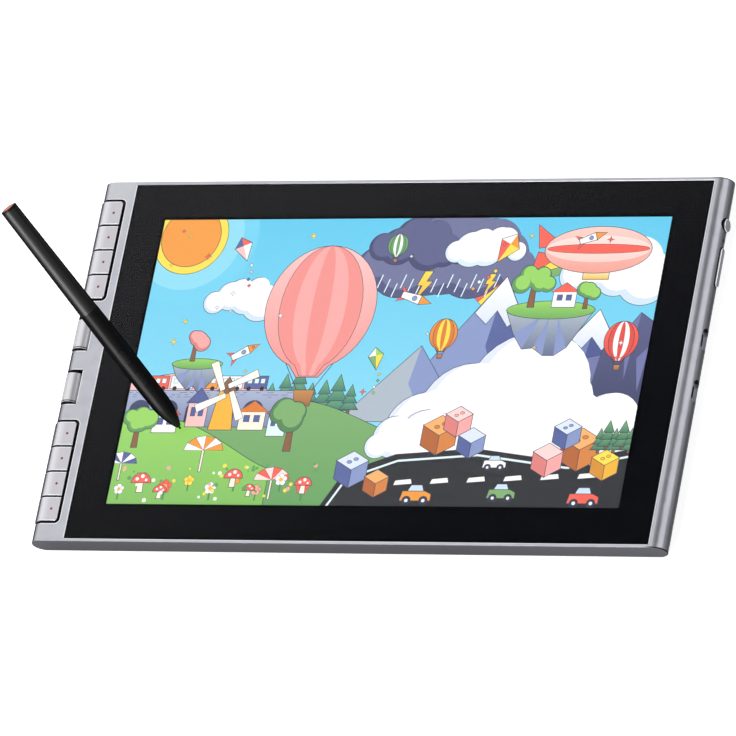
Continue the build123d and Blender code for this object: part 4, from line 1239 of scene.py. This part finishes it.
def grow(name, points, tree, body, **sizes):
    """Runs a node tree on some points and keeps the result as a plain mesh."""
    seed_mesh = bpy.data.meshes.new(name + "_seed")
    seed_mesh.from_pydata([Vector(p) * MM for p in points], [], [])
    holder = placed(name + "_seed", seed_mesh)
    modifier = holder.modifiers.new("grow", "NODES")
    modifier.node_group = tree
    for item in tree.interface.items_tree:
        if item.in_out == "INPUT" and item.name in sizes:
            modifier[item.identifier] = sizes[item.name] * MM
    graph = bpy.context.evaluated_depsgraph_get()
    mesh = bpy.data.meshes.new_from_object(holder.evaluated_get(graph))
    bpy.data.objects.remove(holder)
    mesh.name = name
    made = placed(name, mesh)
    mesh.polygons.foreach_set("use_smooth", [True] * len(mesh.polygons))
    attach(made, body)
    print(name, "faces", len(mesh.polygons))
    return made


# %% Stand a dot on every key
DOT_LEFT, DOT_SUNK = 12.4, 0.01
DOT = moulded("key_dot", "8c4438", "7a3b31", 0.4, 0.2, 0.005)
DOMES = dome_tree("key_dots", DOT)
for number in range(1, 9):
    low, high = box_mm("key_%d" % number)
    spot = (glass_low.x - DOT_LEFT, (low.y + high.y) / 2, high.z - DOT_SUNK)
    grow("key_dot_%d" % number, [spot], DOMES, "key_%d" % number, Radius=0.85, Height=0.12)

# %% [markdown]
# ## Light, floor and camera
# The tablet lies on a plain white floor under large soft lamps, in a pale room. Large lamps give
# metal the broad bands of light that show its round edges. The camera looks down from the front
# right with a long lens, so the edges of the tablet stay nearly parallel.


# %% The floor
def floor_finish(name):
    f = Finish(name)
    where, *_ = f.places()
    shade = f.noise(where, 900.0)
    camera, glossy, through = (
        f.node("ShaderNodeLightPath", output="Is %s Ray" % kind)
        for kind in ("Camera", "Glossy", "Transmission")
    )
    seen = camera.most(through) * 0.62 + glossy * 0.28
    colour = f.mix(shade, "fbfbfb", "f8f8f8")
    matt = f.node("ShaderNodeBsdfDiffuse", None, {"Color": colour})
    glow = f.node("ShaderNodeEmission", None, {"Color": "ffffff", "Strength": seen})
    return f.end(f.node("ShaderNodeAddShader", None, (matt, glow)))


def floor(size):
    mesh = bpy.data.meshes.new("floor")
    corners = [(-size, -size, 0), (size, -size, 0), (size, size, 0), (-size, size, 0)]
    mesh.from_pydata(corners, [], [(0, 1, 2, 3)])
    mesh.materials.append(floor_finish("floor"))
    placed("floor", mesh)


floor(30.0)
print("floor placed")


# %% The room and the lamps
def room(strength, seen_strength):
    world = bpy.data.worlds.new("room")
    bpy.context.scene.world = world
    world.use_nodes = True
    tree = world.node_tree
    tree.nodes.clear()
    paths = tree.nodes.new("ShaderNodeLightPath")
    level = tree.nodes.new("ShaderNodeMapRange")
    level.inputs["To Min"].default_value = strength
    level.inputs["To Max"].default_value = seen_strength
    back = tree.nodes.new("ShaderNodeBackground")
    out = tree.nodes.new("ShaderNodeOutputWorld")
    tree.links.new(paths.outputs["Is Camera Ray"], level.inputs["Value"])
    tree.links.new(level.outputs["Result"], back.inputs["Strength"])
    tree.links.new(back.outputs["Background"], out.inputs["Surface"])


def lamp(name, at, size, glow, tilt=None):
    """A soft lamp whose face has the brightness glow. It faces the tablet, or tilts about Y."""
    data = bpy.data.lights.new(name, "AREA")
    data.shape = "RECTANGLE"
    data.size, data.size_y = size
    data.energy = glow * math.pi * size[0] * size[1]
    made = placed(name, data)
    made.location = at
    made.rotation_euler = (-Vector(at)).to_track_quat("-Z", "Y").to_euler()
    if tilt is not None:
        made.rotation_euler = (0.0, math.radians(tilt), 0.0)
    made.visible_camera = False


room(0.3, 1.0)
lamp("soft_left", (-1.13, 0.7, 1.27), (2.4, 1.9), 1.12, -45)
lamp("soft_right", (1.24, 0.65, 0.9), (1.5, 1.4), 1.2, 54)
lamp("soft_front", (-0.28, -1.3, 0.6), (0.8, 0.5), 9.0)
lamp("soft_fill", (-0.2, -0.5, 1.7), (0.8, 0.8), 1.2)

# %% The camera
camera_data = bpy.data.cameras.new("camera")
camera_data.sensor_width = 36.0
camera_data.lens = 426.2
HALF_PIXEL = 0.5 / 736
camera_data.shift_x, camera_data.shift_y = -HALF_PIXEL, HALF_PIXEL
camera_data.clip_start, camera_data.clip_end = 0.1, 100.0
camera = placed("camera", camera_data)
to_right, to_top = (0.90426, 0.17937, -0.38748), (-0.00113, 0.90849, 0.41791)
to_camera = (0.42698, -0.37746, 0.82171)
turn = Matrix((to_right, to_top, to_camera)).transposed().to_4x4()
stand = Vector((middle_x + 2242.8, -1997.9, glass_high.z + 4337.4))
camera.matrix_world = Matrix.Translation(stand * MM) @ turn
bpy.context.scene.camera = camera
bpy.context.scene.view_settings.view_transform = "Standard"
